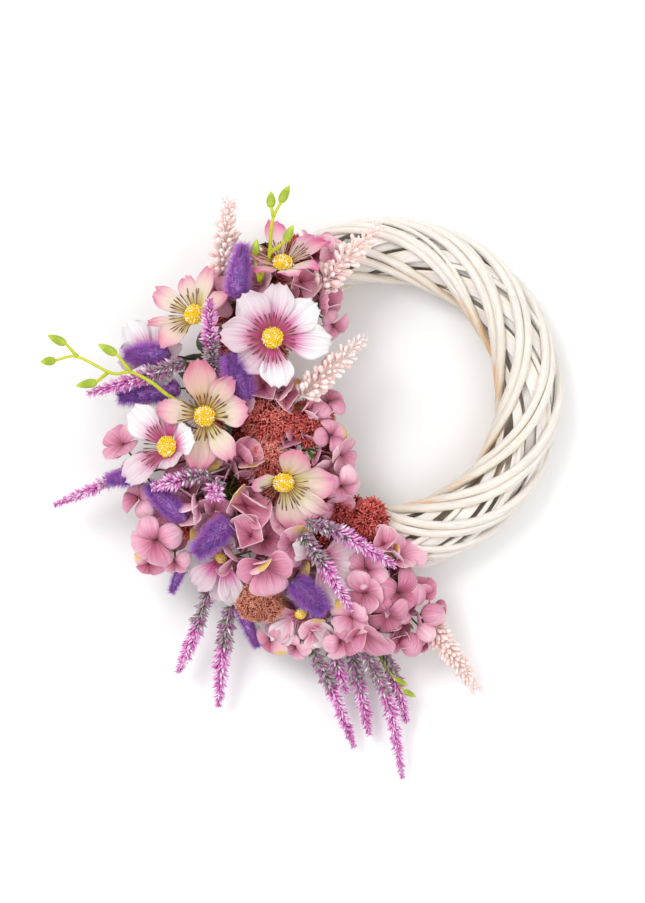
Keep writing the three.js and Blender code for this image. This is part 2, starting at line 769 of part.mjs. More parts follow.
const LAVENDER = {
  lavender_upper: { spikes: [[[-142, 17, 88], [-145, 47, 108], [-145, 76, 114]]], width: 18 },
  lavender_left: { spikes: [[[-166, 26, 86], [-205, 12, 86], [-247, -1, 78]]], width: 17 },
  lavender_far_left: { spikes: [[[-205, -59, 58], [-239, -77, 54], [-278, -94, 44]]], width: 14 },
  lavender_middle: {
    joint: [-138, -70, 78],
    spikes: [
      [[-146, -67, 90], [-170, -72, 98], [-193, -78, 96]],
      [[-142, -74, 84], [-140, -86, 106]],
    ],
    width: 18,
  },
  lavender_low_left: { spikes: [[[-144, -151, 50], [-161, -203, 38], [-175, -235, 28]]], width: 15 },
  lavender_low_middle: { spikes: [[[-130, -177, 44], [-137, -218, 32], [-141, -265, 20]]], width: 17 },
  lavender_bottom: {
    joint: [-36, -186, 38],
    spikes: [
      [[-65, -207, 46], [-43, -254, 30], [-26, -300, 14]],
      [[-47, -207, 40], [-40, -231, 34], [-32, -253, 26]],
      [[-30, -211, 36], [-21, -250, 24], [-13, -289, 14]],
      [[-20, -211, 46], [3, -261, 30], [15, -326, 12]],
      [[-5, -209, 36], [9, -243, 26], [19, -278, 16]],
    ],
    width: 15,
    spacing: 18,
  },
  lavender_right: {
    joint: [-76, -106, 80],
    spikes: [
      [[-66, -106, 88], [-32, -119, 97], [7, -143, 88]],
      [[-70, -116, 86], [-49, -146, 90], [-29, -180, 82]],
    ],
    width: 17,
  },
};

const PALE_SPIKES = {
  pale_spike_top: { spikes: [[[-137, 94, 66], [-131, 129, 76], [-131, 162, 76]]] },
  pale_spike_upper_right: { spikes: [[[-58, 84, 74], [-30, 115, 82], [-2, 142, 78]]] },
  pale_spike_inner: { spikes: [[[-71, -4, 84], [-45, 20, 92], [-17, 48, 88]]] },
  pale_spike_lower_right: { spikes: [[[38, -194, 38], [59, -223, 31], [78, -253, 22]]] },
};

const BUNNY_TAILS = {
  bunny_tail_top: {
    joint: [-124, 74, 76],
    heads: [{ base: [-125, 77, 84], tip: [-118, 121, 100], radius: 10 }],
  },
  bunny_tail_middle: {
    joint: [-114, -8, 74],
    heads: [{ base: [-116, -6, 88], tip: [-129, 28, 104], radius: 11.5 }],
  },
  bunny_tails_left: {
    joint: [-158, 16, 60],
    heads: [
      { base: [-180, 32, 74], tip: [-216, 32, 78], radius: 9.5 },
      { base: [-171, 4, 72], tip: [-222, -4, 66], radius: 9.5 },
    ],
  },
  bunny_tail_lower_left: {
    joint: [-168, -84, 56],
    heads: [{ base: [-167, -105, 80], tip: [-197, -77, 87], radius: 9 }],
  },
  bunny_tail_far_left: {
    joint: [-196, -62, 66],
    heads: [{ base: [-202, -68, 81], tip: [-231, -72, 76], radius: 7.5 }],
  },
  bunny_tails_low: {
    joint: [-136, -112, 56],
    heads: [
      { base: [-129, -105, 84], tip: [-157, -133, 90], radius: 10.5 },
      { base: [-166, -136, 50], tip: [-180, -167, 44], radius: 5 },
    ],
  },
  bunny_tail_bottom: {
    joint: [-80, -150, 68],
    heads: [{ base: [-77, -155, 76], tip: [-52, -180, 80], radius: 11 }],
  },
  bunny_tail_low_middle: {
    joint: [-118, -160, 44],
    heads: [{ base: [-122, -178, 44], tip: [-108, -213, 38], radius: 6 }],
  },
};

const HYDRANGEAS = {
  hydrangea_left: {
    core: [-178, -100, 46],
    florets: [
      [-219, -43, 60, 17],
      [-203, -81, 62],
      [-188, -103, 70, 17],
      [-203, -127, 56, 14],
      [-178, -130, 62, 15],
    ],
    seed: 11,
  },
  hydrangea_middle: {
    core: [-132, -82, 62],
    florets: [[-160, -93, 76], [-143, -97, 72], [-117, -94, 84, 18], [-118, -52, 78, 15]],
    cup: 0.7,
    seed: 23,
  },
  hydrangea_low: {
    core: [-98, -128, 62],
    florets: [[-100, -140, 88, 21], [-112, -114, 82, 16], [-78, -124, 74, 15]],
    seed: 37,
  },
  hydrangea_inner: {
    core: [-66, -46, 58],
    size: 10,
    florets: [
      [-49, -9, 66, 13],
      [-47, -36, 72, 11],
      [-38, -52, 66, 13],
      [-38, -76, 70, 14],
      [-42, -89, 64, 10],
    ],
    seed: 41,
  },
  hydrangea_top: {
    core: [-86, 86, 62],
    florets: [[-71, 92, 76, 14], [-54, 74, 68, 14], [-103, 92, 74, 13], [-140, 88, 66, 15]],
    seed: 53,
  },
  hydrangea_centre: {
    core: [-106, 0, 64],
    florets: [[-102, 7, 80, 17], [-121, -8, 74, 14], [-68, -17, 78, 14]],
    seed: 67,
  },
  hydrangea_right: {
    core: [-6, -158, 48],
    florets: [
      [10, -136, 58, 14],
      [-16, -146, 68, 14],
      [-17, -164, 72, 14],
      [9, -166, 62, 14],
      [0, -180, 58, 15],
      [-17, -197, 64, 17],
      [-2, -127, 66, 12],
    ],
    seed: 71,
  },
  hydrangea_bottom: {
    core: [-66, -188, 42],
    size: 9,
    florets: [[-40, -205, 56, 14], [-94, -205, 44, 12], [-74, -211, 42, 12]],
    seed: 83,
  },
  hydrangea_buds: {
    core: [26, -180, 40],
    size: 8,
    florets: [[26, -168, 50, 10], [44, -184, 46, 12], [22, -207, 44, 12]],
    cup: 1.1,
    seed: 97,
  },
};

const LOOSE_CLUMP = { at: [-105, -173, 66], wide: 18, tall: 11, seed: 47 };

const BED_CLUMPS = {
  moss_bed_upper: [{ at: [-72, 92, 58], wide: 12, tall: 12, seed: 5 }],
  moss_bed_middle: [
    { at: [-98, -22, 53], wide: 21, tall: 22, seed: 7 },
    { at: [-99, -52, 57], wide: 17, tall: 14, seed: 13 },
    { at: [-75, -22, 50], wide: 15, tall: 13, seed: 17 },
  ],
  moss_bed_lower: [
    { at: [-64, -74, 51], wide: 15, tall: 13, seed: 19 },
    { at: [-44, -92, 53], wide: 14, tall: 12, seed: 29 },
    { at: [-14, -104, 55], wide: 14, tall: 12, seed: 31 },
  ],
};

// Putting it together

const wreath = new THREE.Group();
wreath.position.set(...ORIGIN_SHIFT);
const placed = [];

/** Whether each edge joins just two facets, with corners at one place as one, and none is tiny. */
function hasPlainEdges(body) {
  const { index, attributes } = mergeVertices(meshOf(body).translate(...ORIGIN_SHIFT), MERGE);
  const corner = (i) => new THREE.Vector3().fromBufferAttribute(attributes.position, index.getX(i));
  const edges = new Set();
  for (let i = 0; i < index.count; i += 3) {
    const [a, b, c] = [corner(i), corner(i + 1), corner(i + 2)];
    const sides = [a.distanceTo(b), b.distanceTo(c), c.distanceTo(a)];
    if (Math.min(...sides) < LEAST_EDGE) return false;
    const ring = [0, 1, 2].map((k) => index.getX(i + k));
    ring.forEach((from, k) => edges.add(`${from} ${ring[(k + 1) % 3]}`));
  }
  return edges.size === index.count;
}

/** The piece cut back where earlier neighbours are, its small facets merged while it stays clear. */
function fitted(build, neighbours) {
  const cutter = fuse(neighbours.map((other) => other.grown));
  const clear = (shape) => neighbours.every((other) => shape.intersect(other.body).volume() < TOUCH);
  for (const fullness of FULLNESS) {
    const body = biggest(build(fullness).subtract(cutter));
    for (const tolerance of SMOOTHING) {
      const shape = biggest(solid(meshOf(body.simplify(tolerance))));
      if (hasPlainEdges(shape) && clear(shape)) return shape;
    }
  }
  throw new Error('no closed shape clear of its neighbours');
}

/** Adds a mesh for a piece, cut back where an earlier neighbour is. */
function addPiece(name, build, colour, roughness = 0.8) {
  const whole = build(CLEARANCE);
  const box = whole.boundingBox();
  const meets = (other) =>
    [0, 1, 2].every((k) => box.min[k] < other.box.max[k] && box.max[k] > other.box.min[k]);
  const body = fitted(build, placed.filter(meets));
  placed.push({ body, grown: fuse([body, whole]), box });
  const geometry = meshOf(body);
  geometry.computeVertexNormals();
  const material = new THREE.MeshStandardMaterial({ color: colour, roughness, metalness: 0 });
  const mesh = new THREE.Mesh(geometry, material);
  mesh.name = name;
  wreath.add(mesh);
}

/** The piece with everything below the resting plane cut off, which leaves its flats. */
function restedOnPlane(body) {
  const below = new THREE.BoxGeometry(400, 400, 20).translate(0, 0, -10);
  return body.subtract(solid(below));
}

addPiece('willow_inner_bundle', innerBundle, COLOURS.willowInner);
STRIP_WIDTHS.forEach((_, index) => {
  addPiece(`willow_under_strip_${index + 1}`, () => underStrip(index), COLOURS.willowUnder);
});
for (let index = 0; index < ROD_COUNT; index++) {
  addPiece(`willow_rod_${index + 1}`, () => restedOnPlane(outerRod(index)), COLOURS.willow);
}

BED_PARTS.forEach((name, part) => {
  const tufts = (grow) => BED_CLUMPS[name].map((clump) => mossClump(clump, grow));
  addPiece(name, (grow) => fuse([mossBed(part, grow), ...tufts(grow)]), COLOURS.moss);
});
const looseClump = (grow) => fuse([mossClump(LOOSE_CLUMP, grow), stemFrom(vec(LOOSE_CLUMP.at), grow)]);
addPiece('moss_clump_lower', looseClump, COLOURS.clump);

for (const [name, flower] of Object.entries(COSMOS)) {
  addPiece(`${name}_centre`, (grow) => cosmosCentre(flower, grow), COLOURS.dome);
}
for (const [name, spray] of Object.entries(BUD_SPRAYS)) {
  addPiece(name, (grow) => budSpray(spray, grow), COLOURS.bud, 0.5);
}
for (const [name, head] of Object.entries(HYDRANGEAS)) {
  addPiece(name, (grow) => hydrangeaHead(head, grow), COLOURS.hydrangea);
}
for (const [name, flower] of Object.entries(COSMOS)) {
  addPiece(`${name}_petals`, (grow) => cosmosPetals(flower, grow), flower.colour);
}
for (const [name, bunch] of Object.entries(LAVENDER)) {
  const habit = { spacing: 9, budRadius: 1.9, ...bunch };
  addPiece(name, (grow) => spikeBunch(habit, grow), COLOURS.lavender);
}
for (const [name, bunch] of Object.entries(PALE_SPIKES)) {
  const habit = { width: 24, spacing: 7, budRadius: 2.8, ...bunch };
  addPiece(name, (grow) => spikeBunch(habit, grow), COLOURS.palePink);
}
for (const [name, tails] of Object.entries(BUNNY_TAILS)) {
  addPiece(name, (grow) => bunnyTails(tails, grow), COLOURS.tail, 1);
}
for (const [name, flower] of Object.entries(HIDDEN_COSMOS)) {
  const habit = { width: 24, rows: 2, ...flower };
  const neck = vec(flower.at).addScaledVector(facing(flower.face).face, -1);
  const stemmed = (grow) => fuse([cosmosPetals(habit, grow), stemFrom(neck, grow)]);
  addPiece(name, stemmed, flower.colour);
}

export default wreath;
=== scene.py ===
"""A willow ring with a crescent of cloth and dried flowers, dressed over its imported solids.

Lengths in the tables are millimetres from the middle of the ring, with its back at z = 0.
Body.finish puts each mesh in the row's frame, in metres.
"""

import math

import bpy
import numpy as np
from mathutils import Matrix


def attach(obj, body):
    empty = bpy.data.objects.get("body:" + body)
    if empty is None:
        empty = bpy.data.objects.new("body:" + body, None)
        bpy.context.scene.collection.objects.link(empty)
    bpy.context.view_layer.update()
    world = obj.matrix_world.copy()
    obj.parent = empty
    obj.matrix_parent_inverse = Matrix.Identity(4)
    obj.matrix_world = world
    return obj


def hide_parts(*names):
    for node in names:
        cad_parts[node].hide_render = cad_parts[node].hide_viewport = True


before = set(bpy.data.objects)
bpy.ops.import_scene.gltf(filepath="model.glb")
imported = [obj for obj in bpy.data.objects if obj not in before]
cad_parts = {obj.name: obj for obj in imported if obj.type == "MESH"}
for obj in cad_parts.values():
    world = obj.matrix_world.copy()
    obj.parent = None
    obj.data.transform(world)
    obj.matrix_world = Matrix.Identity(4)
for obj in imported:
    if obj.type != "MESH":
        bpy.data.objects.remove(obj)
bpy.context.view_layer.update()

# The ring's middle in the row's frame, and how many metres a millimetre is
RING_MIDDLE = np.array([69.5, 77.0, 0.0])
METRES = 0.001
# The circle in the middle of the ring's tube: its radius and its height
RING_RADIUS = 121.7
TUBE_LIFT = 27.1
# How far the long rods lie from that circle
ROD_REACH = 24.8
# The moss bed: its ends in degrees round the ring, its rims in degrees round the tube, and its least reach
BED_START, BED_END = 112.0, 268.0
BED_AROUND = (-20.0, 150.0)
BED_INNER = 29.2
GOLDEN_ANGLE = math.pi * (3 - math.sqrt(5))
# A direction that no stem or sprig follows, which the sides of its tube are measured from
OBLIQUE = (0.31, 0.22, 0.93)


# Vectors and frames


def unit(v):
    """Each vector over its own length."""
    return v / np.maximum(np.linalg.norm(v, axis=-1, keepdims=True), 1e-9)


def facing(direction):
    """Columns east, north and face: face along direction, east across it and the y axis, north the rest."""
    face = unit(np.asarray(direction, float))
    east = unit(np.cross((0.0, 1.0, 0.0), face))
    return np.stack([east, np.cross(face, east), face], axis=-1)


def on_tube(turn, around, reach):
    """A place in the ring's tube: turn degrees round the ring, around degrees round the tube, at reach."""
    turn, around = np.radians(turn), np.radians(around)
    out = RING_RADIUS + reach * np.cos(around)
    return np.stack([out * np.cos(turn), out * np.sin(turn), TUBE_LIFT + reach * np.sin(around)], axis=-1)


def anchor(point):
    """The place on the moss under a point: its own turn and around angles, held inside the moss bed."""
    turn = np.clip(math.degrees(math.atan2(point[1], point[0])) % 360, BED_START + 4, BED_END - 4)
    offset = np.asarray(point, float) - on_tube(turn, 0.0, 0.0)
    outward = offset @ np.array([math.cos(math.radians(turn)), math.sin(math.radians(turn)), 0.0])
    around = np.clip(math.degrees(math.atan2(offset[2], outward)), 0.0, 140.0)
    return on_tube(turn, around, BED_INNER + 2)


def smooth_path(points, count):
    """Evenly spaced places on the curve through the points: the Catmull-Rom cubic of each span."""
    points = np.asarray(points, float)
    padded = np.vstack([2 * points[0] - points[1], points, 2 * points[-1] - points[-2]])
    s = np.linspace(0, len(points) - 1 - 1e-6, count)
    i = s.astype(int)
    t = (s - i)[:, None]
    a, b, c, d = padded[i], padded[i + 1], padded[i + 2], padded[i + 3]
    return 0.5 * (2 * b + (c - a) * t + (2 * a - 5 * b + 4 * c - d) * t**2 + (3 * b - a - 3 * c + d) * t**3)


def along_frames(path, reference):
    """Tangent, side and top of a path: the side is across the reference and the tangent."""
    tangent = unit(np.gradient(path, axis=0))
    side = unit(np.cross(reference, tangent))
    return tangent, side, np.cross(tangent, side)


# Grids and bodies


def grid_quads(rows, columns, wrapped=False):
    """Corner numbers of the squares of a grid of rows by columns, joined round its columns if wrapped."""
    i, j = np.meshgrid(np.arange(rows - 1), np.arange(columns if wrapped else columns - 1), indexing="ij")
    right = (j + 1) % columns
    row, next_row = i * columns, (i + 1) * columns
    return np.stack([row + j, row + right, next_row + right, next_row + j], -1).reshape(-1, 4)


def end_fans(rows, columns):
    """Triangles that join the first and last rings of a wrapped grid to the two places that come after it."""
    j = np.arange(columns)
    after, last = (j + 1) % columns, (rows - 1) * columns
    low = np.stack([after, j, np.full(columns, rows * columns)], -1)
    high = np.stack([j + last, after + last, np.full(columns, rows * columns + 1)], -1)
    return np.vstack([low, high])


class Body:
    """The surfaces of one piece: places in millimetres, quads and triangles, a pattern place and a tint."""

    def __init__(self):
        self.places, self.quads, self.triangles, self.patterns, self.tints = [], [], [], [], []
        self.count = 0

    def add(self, places, quads=None, triangles=None, pattern=0.0, tint=0.5):
        """Adds one surface. Pattern and tint may be single values or one per place."""
        places = np.asarray(places, float).reshape(-1, 3)
        number = len(places)
        for kept, faces in ((self.quads, quads), (self.triangles, triangles)):
            if faces is not None:
                kept.append(np.asarray(faces) + self.count)
        self.places.append(places)
        pattern = np.asarray(pattern, float)
        pattern = pattern.reshape(-1, 3) if pattern.ndim else pattern
        self.patterns.append(np.broadcast_to(pattern, (number, 3)))
        self.tints.append(np.broadcast_to(np.asarray(tint, float).reshape(-1), (number,)))
        self.count += number

    def tube(self, path, radius, sides=8, reference=(0.0, 0.0, 1.0), tint=0.5, ridge=0.0):
        """A closed tube: circles of the radius round each place, waved by ridge two and three times round.

        Its pattern holds the way across, the way up and the length. Its ends are flat where it has three or
        four sides, and fans round the ends of the path where it has more.
        """
        path = np.asarray(path, float)
        count = len(path)
        _, side, top = along_frames(path, np.asarray(reference, float))
        angle = np.arange(sides)[:, None] / sides * 2 * np.pi
        cosine, sine = np.cos(angle), np.sin(angle)
        uneven = 1 + ridge * np.cos(2 * angle + 1.0) + ridge * np.cos(3 * angle)
        reach = np.broadcast_to(radius, (count,))[:, None, None] * uneven
        rings = path[:, None] + reach * (cosine * side[:, None] + sine * top[:, None])
        length = np.concatenate([[0], np.cumsum(np.linalg.norm(np.diff(path, axis=0), axis=1))])
        lengths = np.broadcast_to(length[:, None, None], (count, sides, 1))
        pattern = np.concatenate([reach * cosine, reach * sine, lengths], axis=-1)
        tint = np.broadcast_to(np.asarray(tint, float).reshape(-1, 1), (count, sides))
        quads = grid_quads(count, sides, True)
        if sides < 5:
            cap = np.array([(0, 2, 1), (0, 3, 2)][: sides - 2])
            self.add(rings, quads, np.vstack([cap, cap[:, ::-1] + (count - 1) * sides]), pattern, tint)
            return
        places = np.vstack([rings.reshape(-1, 3), path[:1], path[-1:]])
        patterns = np.vstack([pattern.reshape(-1, 3), [[0, 0, 0]], [[0, 0, length[-1]]]])
        tints = np.concatenate([tint.reshape(-1), tint[0, :1], tint[-1, :1]])
        self.add(places, quads, end_fans(count, sides), patterns, tints)

    def sheet(self, surface, thickness, pattern, tint=0.5):
        """A thin closed sheet: the grid moved half a thickness each way along its normals, rims joined."""
        rows, columns = surface.shape[:2]
        normal = unit(np.cross(np.gradient(surface, axis=1), np.gradient(surface, axis=0)))
        front, back = surface + normal * thickness / 2, surface - normal * thickness / 2
        quads = grid_quads(rows, columns)
        number = rows * columns
        numbers = np.arange(number).reshape(rows, columns)
        rim = np.concatenate([numbers[0, :-1], numbers[:-1, -1], numbers[-1, :0:-1], numbers[:0:-1, 0]])
        after = np.roll(rim, -1)
        sides = np.stack([rim, rim + number, after + number, after], -1)
        faces = np.vstack([quads, quads[:, ::-1] + number, sides])
        pattern = np.asarray(pattern, float).reshape(-1, 3)
        self.add(np.stack([front, back]), faces, None, np.vstack([pattern, pattern]), tint)

    def scatter(self, shape, origins, frames, sizes, tints=0.5):
        """Copies of a small shape: its places turned by each frame, sized and set at each origin."""
        places, quads, triangles, pattern = shape
        number, count = len(origins), len(places)
        sizes = np.asarray(sizes, float)
        sizes = sizes[:, None] if sizes.ndim == 2 else sizes.reshape(-1, 1, 1)
        sized = places[None] * np.broadcast_to(sizes, (number, 1, 3))
        moved = np.einsum("nij,npj->npi", frames, sized) + np.asarray(origins)[:, None]
        shifts = (np.arange(number) * count)[:, None, None]
        self.add(
            moved,
            (quads[None] + shifts).reshape(-1, 4),
            (triangles[None] + shifts).reshape(-1, 3),
            np.broadcast_to(pattern[None], (number, count, 3)),
            np.repeat(np.broadcast_to(tints, (number,)), count),
        )

    def shape(self):
        """The body as one small shape for scatter."""
        quads = np.vstack(self.quads) if self.quads else np.zeros((0, 4), int)
        triangles = np.vstack(self.triangles) if self.triangles else np.zeros((0, 3), int)
        return np.vstack(self.places), quads, triangles, np.vstack(self.patterns)

    def finish(self, name, material, slot, *nodes):
        """Makes the mesh, puts it in the row's frame in metres, hangs it under the root body and hides the
        solids that it replaces.
        """
        places, quads, triangles, patterns = self.shape()
        corners = np.concatenate([quads.ravel(), triangles.ravel()])
        starts = np.concatenate([np.arange(len(quads)) * 4, quads.size + np.arange(len(triangles)) * 3])
        mesh = bpy.data.meshes.new(name)
        mesh.vertices.add(len(places))
        mesh.vertices.foreach_set("co", ((places + RING_MIDDLE) * METRES).astype(np.float32).ravel())
        mesh.loops.add(len(corners))
        mesh.loops.foreach_set("vertex_index", corners.astype(np.int32))
        mesh.polygons.add(len(starts))
        mesh.polygons.foreach_set("loop_start", starts.astype(np.int32))
        mesh.polygons.foreach_set("use_smooth", np.ones(len(starts), bool))
        pattern = mesh.attributes.new("pattern", "FLOAT_VECTOR", "POINT")
        pattern.data.foreach_set("vector", patterns.astype(np.float32).ravel())
        tint = mesh.attributes.new("tint", "FLOAT", "POINT")
        tint.data.foreach_set("value", np.concatenate(self.tints).astype(np.float32))
        mesh.update(calc_edges=True)
        mesh.validate()
        mesh.materials.append(material)
        piece = bpy.data.objects.new(name, mesh)
        bpy.context.scene.collection.objects.link(piece)
        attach(piece, "root")
        if nodes:
            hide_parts(*nodes)


def rooted_stem(body, start, radius, tint, steps=8, sag=0.0, reference=(0.3, 0.9, 0.1)):
    """A stem from a place to the moss under it, its middle moved off the straight line by the sag."""
    start = np.asarray(start, float)
    foot = anchor(start)
    body.tube(smooth_path([start, (start + foot) / 2 - sag, foot], steps), radius, 6, reference, tint)


# Materials


def paint(red, green, blue):
    """A colour given from 0 to 255 as the eye sees it, in the linear values that shaders use."""
    values = np.array([red, green, blue]) / 255
    linear = np.where(values <= 0.04045, values / 12.92, ((values + 0.055) / 1.055) ** 2.4)
    return (*map(float, linear), 1.0)


class Shades:
    """A tree of shader nodes, with one method for each kind of node that the materials use."""

    def __init__(self, tree):
        self.tree = tree

    def fill(self, node, inputs):
        """Sets the inputs of a node from values, or links them from sockets, and gives its outputs."""
        for name, value in inputs.items():
            if isinstance(value, bpy.types.NodeSocket):
                self.tree.links.new(value, node.inputs[name])
            else:
                node.inputs[name].default_value = value
        return node.outputs

    def node(self, kind, inputs, **settings):
        """The outputs of a new node of a kind, with these settings and inputs."""
        node = self.tree.nodes.new("ShaderNode" + kind)
        for name, value in settings.items():
            setattr(node, name, value)
        return self.fill(node, inputs)

    def group(self, tree, pattern):
        """The outputs of a node group that reads a pattern."""
        node = self.tree.nodes.new("ShaderNodeGroup")
        node.node_tree = tree
        return self.fill(node, {"Pattern": pattern})

    def pattern(self):
        """The pattern place that Body.add keeps for the surface."""
        return self.node("Attribute", {}, attribute_name="pattern", attribute_type="GEOMETRY")["Vector"]

    def tint(self):
        """The tint that Body.add keeps for the part."""
        return self.node("Attribute", {}, attribute_name="tint", attribute_type="GEOMETRY")["Fac"]

    def parts(self, vector):
        """The x, y and z of a vector."""
        return self.node("SeparateXYZ", {"Vector": vector})

    def place(self):
        """The place on the object in metres."""
        return self.node("TexCoord", {})["Object"]

    def stretch(self, vector, x, y, z):
        """A vector with its x, y and z multiplied, which squeezes a noise by as much."""
        return self.node("VectorMath", {0: vector, 1: (x, y, z)}, operation="MULTIPLY")[0]

    def noise(self, vector, scale, detail=3.0, roughness=0.6):
        given = {"Vector": vector, "Scale": scale, "Detail": detail, "Roughness": roughness}
        return self.node("TexNoise", given)["Fac"]

    def math(self, operation, a, b=0.0):
        return self.node("Math", {0: a, 1: b}, operation=operation)[0]

    def limits(self, value, low, high, new_low=0.0, new_high=1.0):
        """The value with low to high drawn out to new_low to new_high, and held there beyond."""
        given = {"Value": value, "From Min": low, "From Max": high, "To Min": new_low, "To Max": new_high}
        return self.node("MapRange", given)["Result"]

    def mix(self, factor, a, b, blend="MIX"):
        return self.node("Mix", {0: factor, 6: a, 7: b}, data_type="RGBA", blend_type=blend)[2]

    def ramp(self, factor, *stops):
        """A colour ramp through stops, each a position and a colour from 0 to 255."""
        node = self.tree.nodes.new("ShaderNodeValToRGB")
        elements = node.color_ramp.elements
        for index, (position, *colour) in enumerate(stops):
            element = elements[index] if index < 2 else elements.new(position)
            element.position, element.color = position, paint(*colour)
        return self.fill(node, {"Fac": factor})["Color"]

    def bump(self, height, distance, strength=1.0):
        return self.node("Bump", {"Height": height, "Distance": distance, "Strength": strength})["Normal"]


def surface_shader(made):
    """The shader node of a new material or world that its surface is set on."""
    made.use_nodes = True
    return next(node for node in made.node_tree.nodes if node.type in ("BSDF_PRINCIPLED", "BACKGROUND"))


def material(name, roughness, build, sheen=0.0, subsurface=0.0):
    """A Principled material whose colour and normal come from build, a function of its shader nodes."""
    made = bpy.data.materials.new(name)
    shader = surface_shader(made)
    shader.inputs["Roughness"].default_value = roughness
    shader.inputs["Sheen Weight"].default_value = sheen
    shader.inputs["Subsurface Weight"].default_value = subsurface
    shader.inputs["Subsurface Radius"].default_value = (0.004, 0.002, 0.002)
    shader.inputs["Subsurface Scale"].default_value = 1.0
    colour, normal = build(Shades(made.node_tree))
    made.node_tree.links.new(colour, shader.inputs["Base Color"])
    if normal is not None:
        made.node_tree.links.new(normal, shader.inputs["Normal"])
    return made


def group(name, labels, build):
    """A shader node group that reads a pattern: build returns a value for each label, in order."""
    tree = bpy.data.node_groups.new(name, "ShaderNodeTree")
    tree.interface.new_socket("Pattern", in_out="INPUT", socket_type="NodeSocketVector")
    for label in labels:
        tree.interface.new_socket(label, in_out="OUTPUT", socket_type="NodeSocketFloat")
    given, result = tree.nodes.new("NodeGroupInput"), tree.nodes.new("NodeGroupOutput")
    for label, socket in zip(labels, build(Shades(tree), given.outputs["Pattern"])):
        tree.links.new(socket, result.inputs[label])
    return tree


def veined_cloth(shades, pattern):
    """Fine ribs that run from root to edge and fade sideways, over a fine weave."""
    ribs = shades.noise(shades.stretch(pattern, 12.0, 0.9, 40.0), 1.0, 4.0, 0.65)
    blotch = shades.noise(shades.stretch(pattern, 1.6, 1.6, 30.0), 1.0, 2.0)
    weave = shades.noise(shades.place(), 1800.0, 1.0)
    height = shades.math("ADD", ribs, shades.math("MULTIPLY", weave, 0.35))
    return ribs, blotch, height


def long_grain(shades, pattern):
    """Fibres along a stick: noise drawn out along it, with larger soft blotches."""
    fibres = shades.noise(shades.stretch(pattern, 1.0, 1.0, 0.045), 1.5, 4.0, 0.65)
    blotch = shades.noise(shades.stretch(pattern, 0.25, 0.25, 0.022), 1.0, 3.0, 0.6)
    specks = shades.noise(shades.stretch(pattern, 0.5, 0.5, 0.12), 1.0, 5.0, 0.7)
    return fibres, blotch, specks


CLOTH = group("veined_cloth", ("Ribs", "Blotch", "Height"), veined_cloth)
GRAIN = group("long_grain", ("Fibres", "Blotch", "Specks"), long_grain)


def willow_finish(white, shade, worn, wear):
    """White paint over peeled willow: fibres in two whites, a yellowed side, and tan where it is worn."""

    def build(shades):
        pattern = shades.pattern()
        out = shades.group(GRAIN, pattern)
        base = shades.ramp(out["Fibres"], (0.3, *shade), (0.55, *white))
        base = shades.mix(shades.limits(out["Specks"], 0.58, 0.7, 0.0, 0.5), base, paint(*shade))
        across = shades.math("ADD", shades.parts(pattern)[0], shades.math("MULTIPLY", out["Blotch"], 3.0))
        side = shades.limits(across, 2.6, 4.2)
        base = shades.mix(shades.math("MULTIPLY", side, 0.2), base, paint(242, 224, 176))
        wornness = shades.math("ADD", out["Blotch"], shades.math("MULTIPLY", shades.tint(), wear))
        colour = shades.mix(shades.limits(wornness, 0.84, 1.0, 0.0, 0.8), base, paint(*worn))
        return colour, shades.bump(out["Fibres"], 0.0009, 0.5)

    return build


def petal_finish(stops, edge, flush_and_shade):
    """Pleated cloth coloured from root to edge, its ribs carrying the root's colour outward, with painted
    shade in the grooves between them.

    The flush darkens some petals more than others, by their tint: partly the petals' own pink and partly
    painted shade. The rim is the petal's own edge colour on cream and pink petals and a line of painted shade
    on white and blush ones.
    """

    def build(shades):
        pattern = shades.pattern()
        out = shades.group(CLOTH, pattern)
        across, along, _ = shades.parts(pattern)
        shifted = shades.math("ADD", along, shades.limits(out["Ribs"], 0.3, 0.7, -0.14, 0.14))
        aside = shades.math("POWER", shades.math("ABSOLUTE", across), 2.0)
        colour = shades.ramp(shades.math("ADD", shifted, shades.math("MULTIPLY", aside, 0.16)), *stops)
        # Flush and painted shade: some petals are darkened and made pinker by their tint.
        flush_and_shade_share = shades.limits(shades.tint(), 0.35, 1.0, 0.0, 0.75)
        colour = shades.mix(flush_and_shade_share, colour, paint(*flush_and_shade), "MULTIPLY")
        # Painted shade: the grooves between the ribs are darkened.
        colour = shades.mix(shades.limits(out["Ribs"], 0.3, 0.62, 0.24, 0.0), colour, paint(150, 110, 130))
        # The rim takes the edge colour: the petal's own pink edge on cream and pink petals, painted shade on
        # white and blush ones.
        rim = shades.limits(shades.math("ABSOLUTE", across), 0.93, 1.0, 0.0, 0.35)
        return shades.mix(rim, colour, paint(*edge)), shades.bump(out["Height"], 0.001, 0.8)

    return build


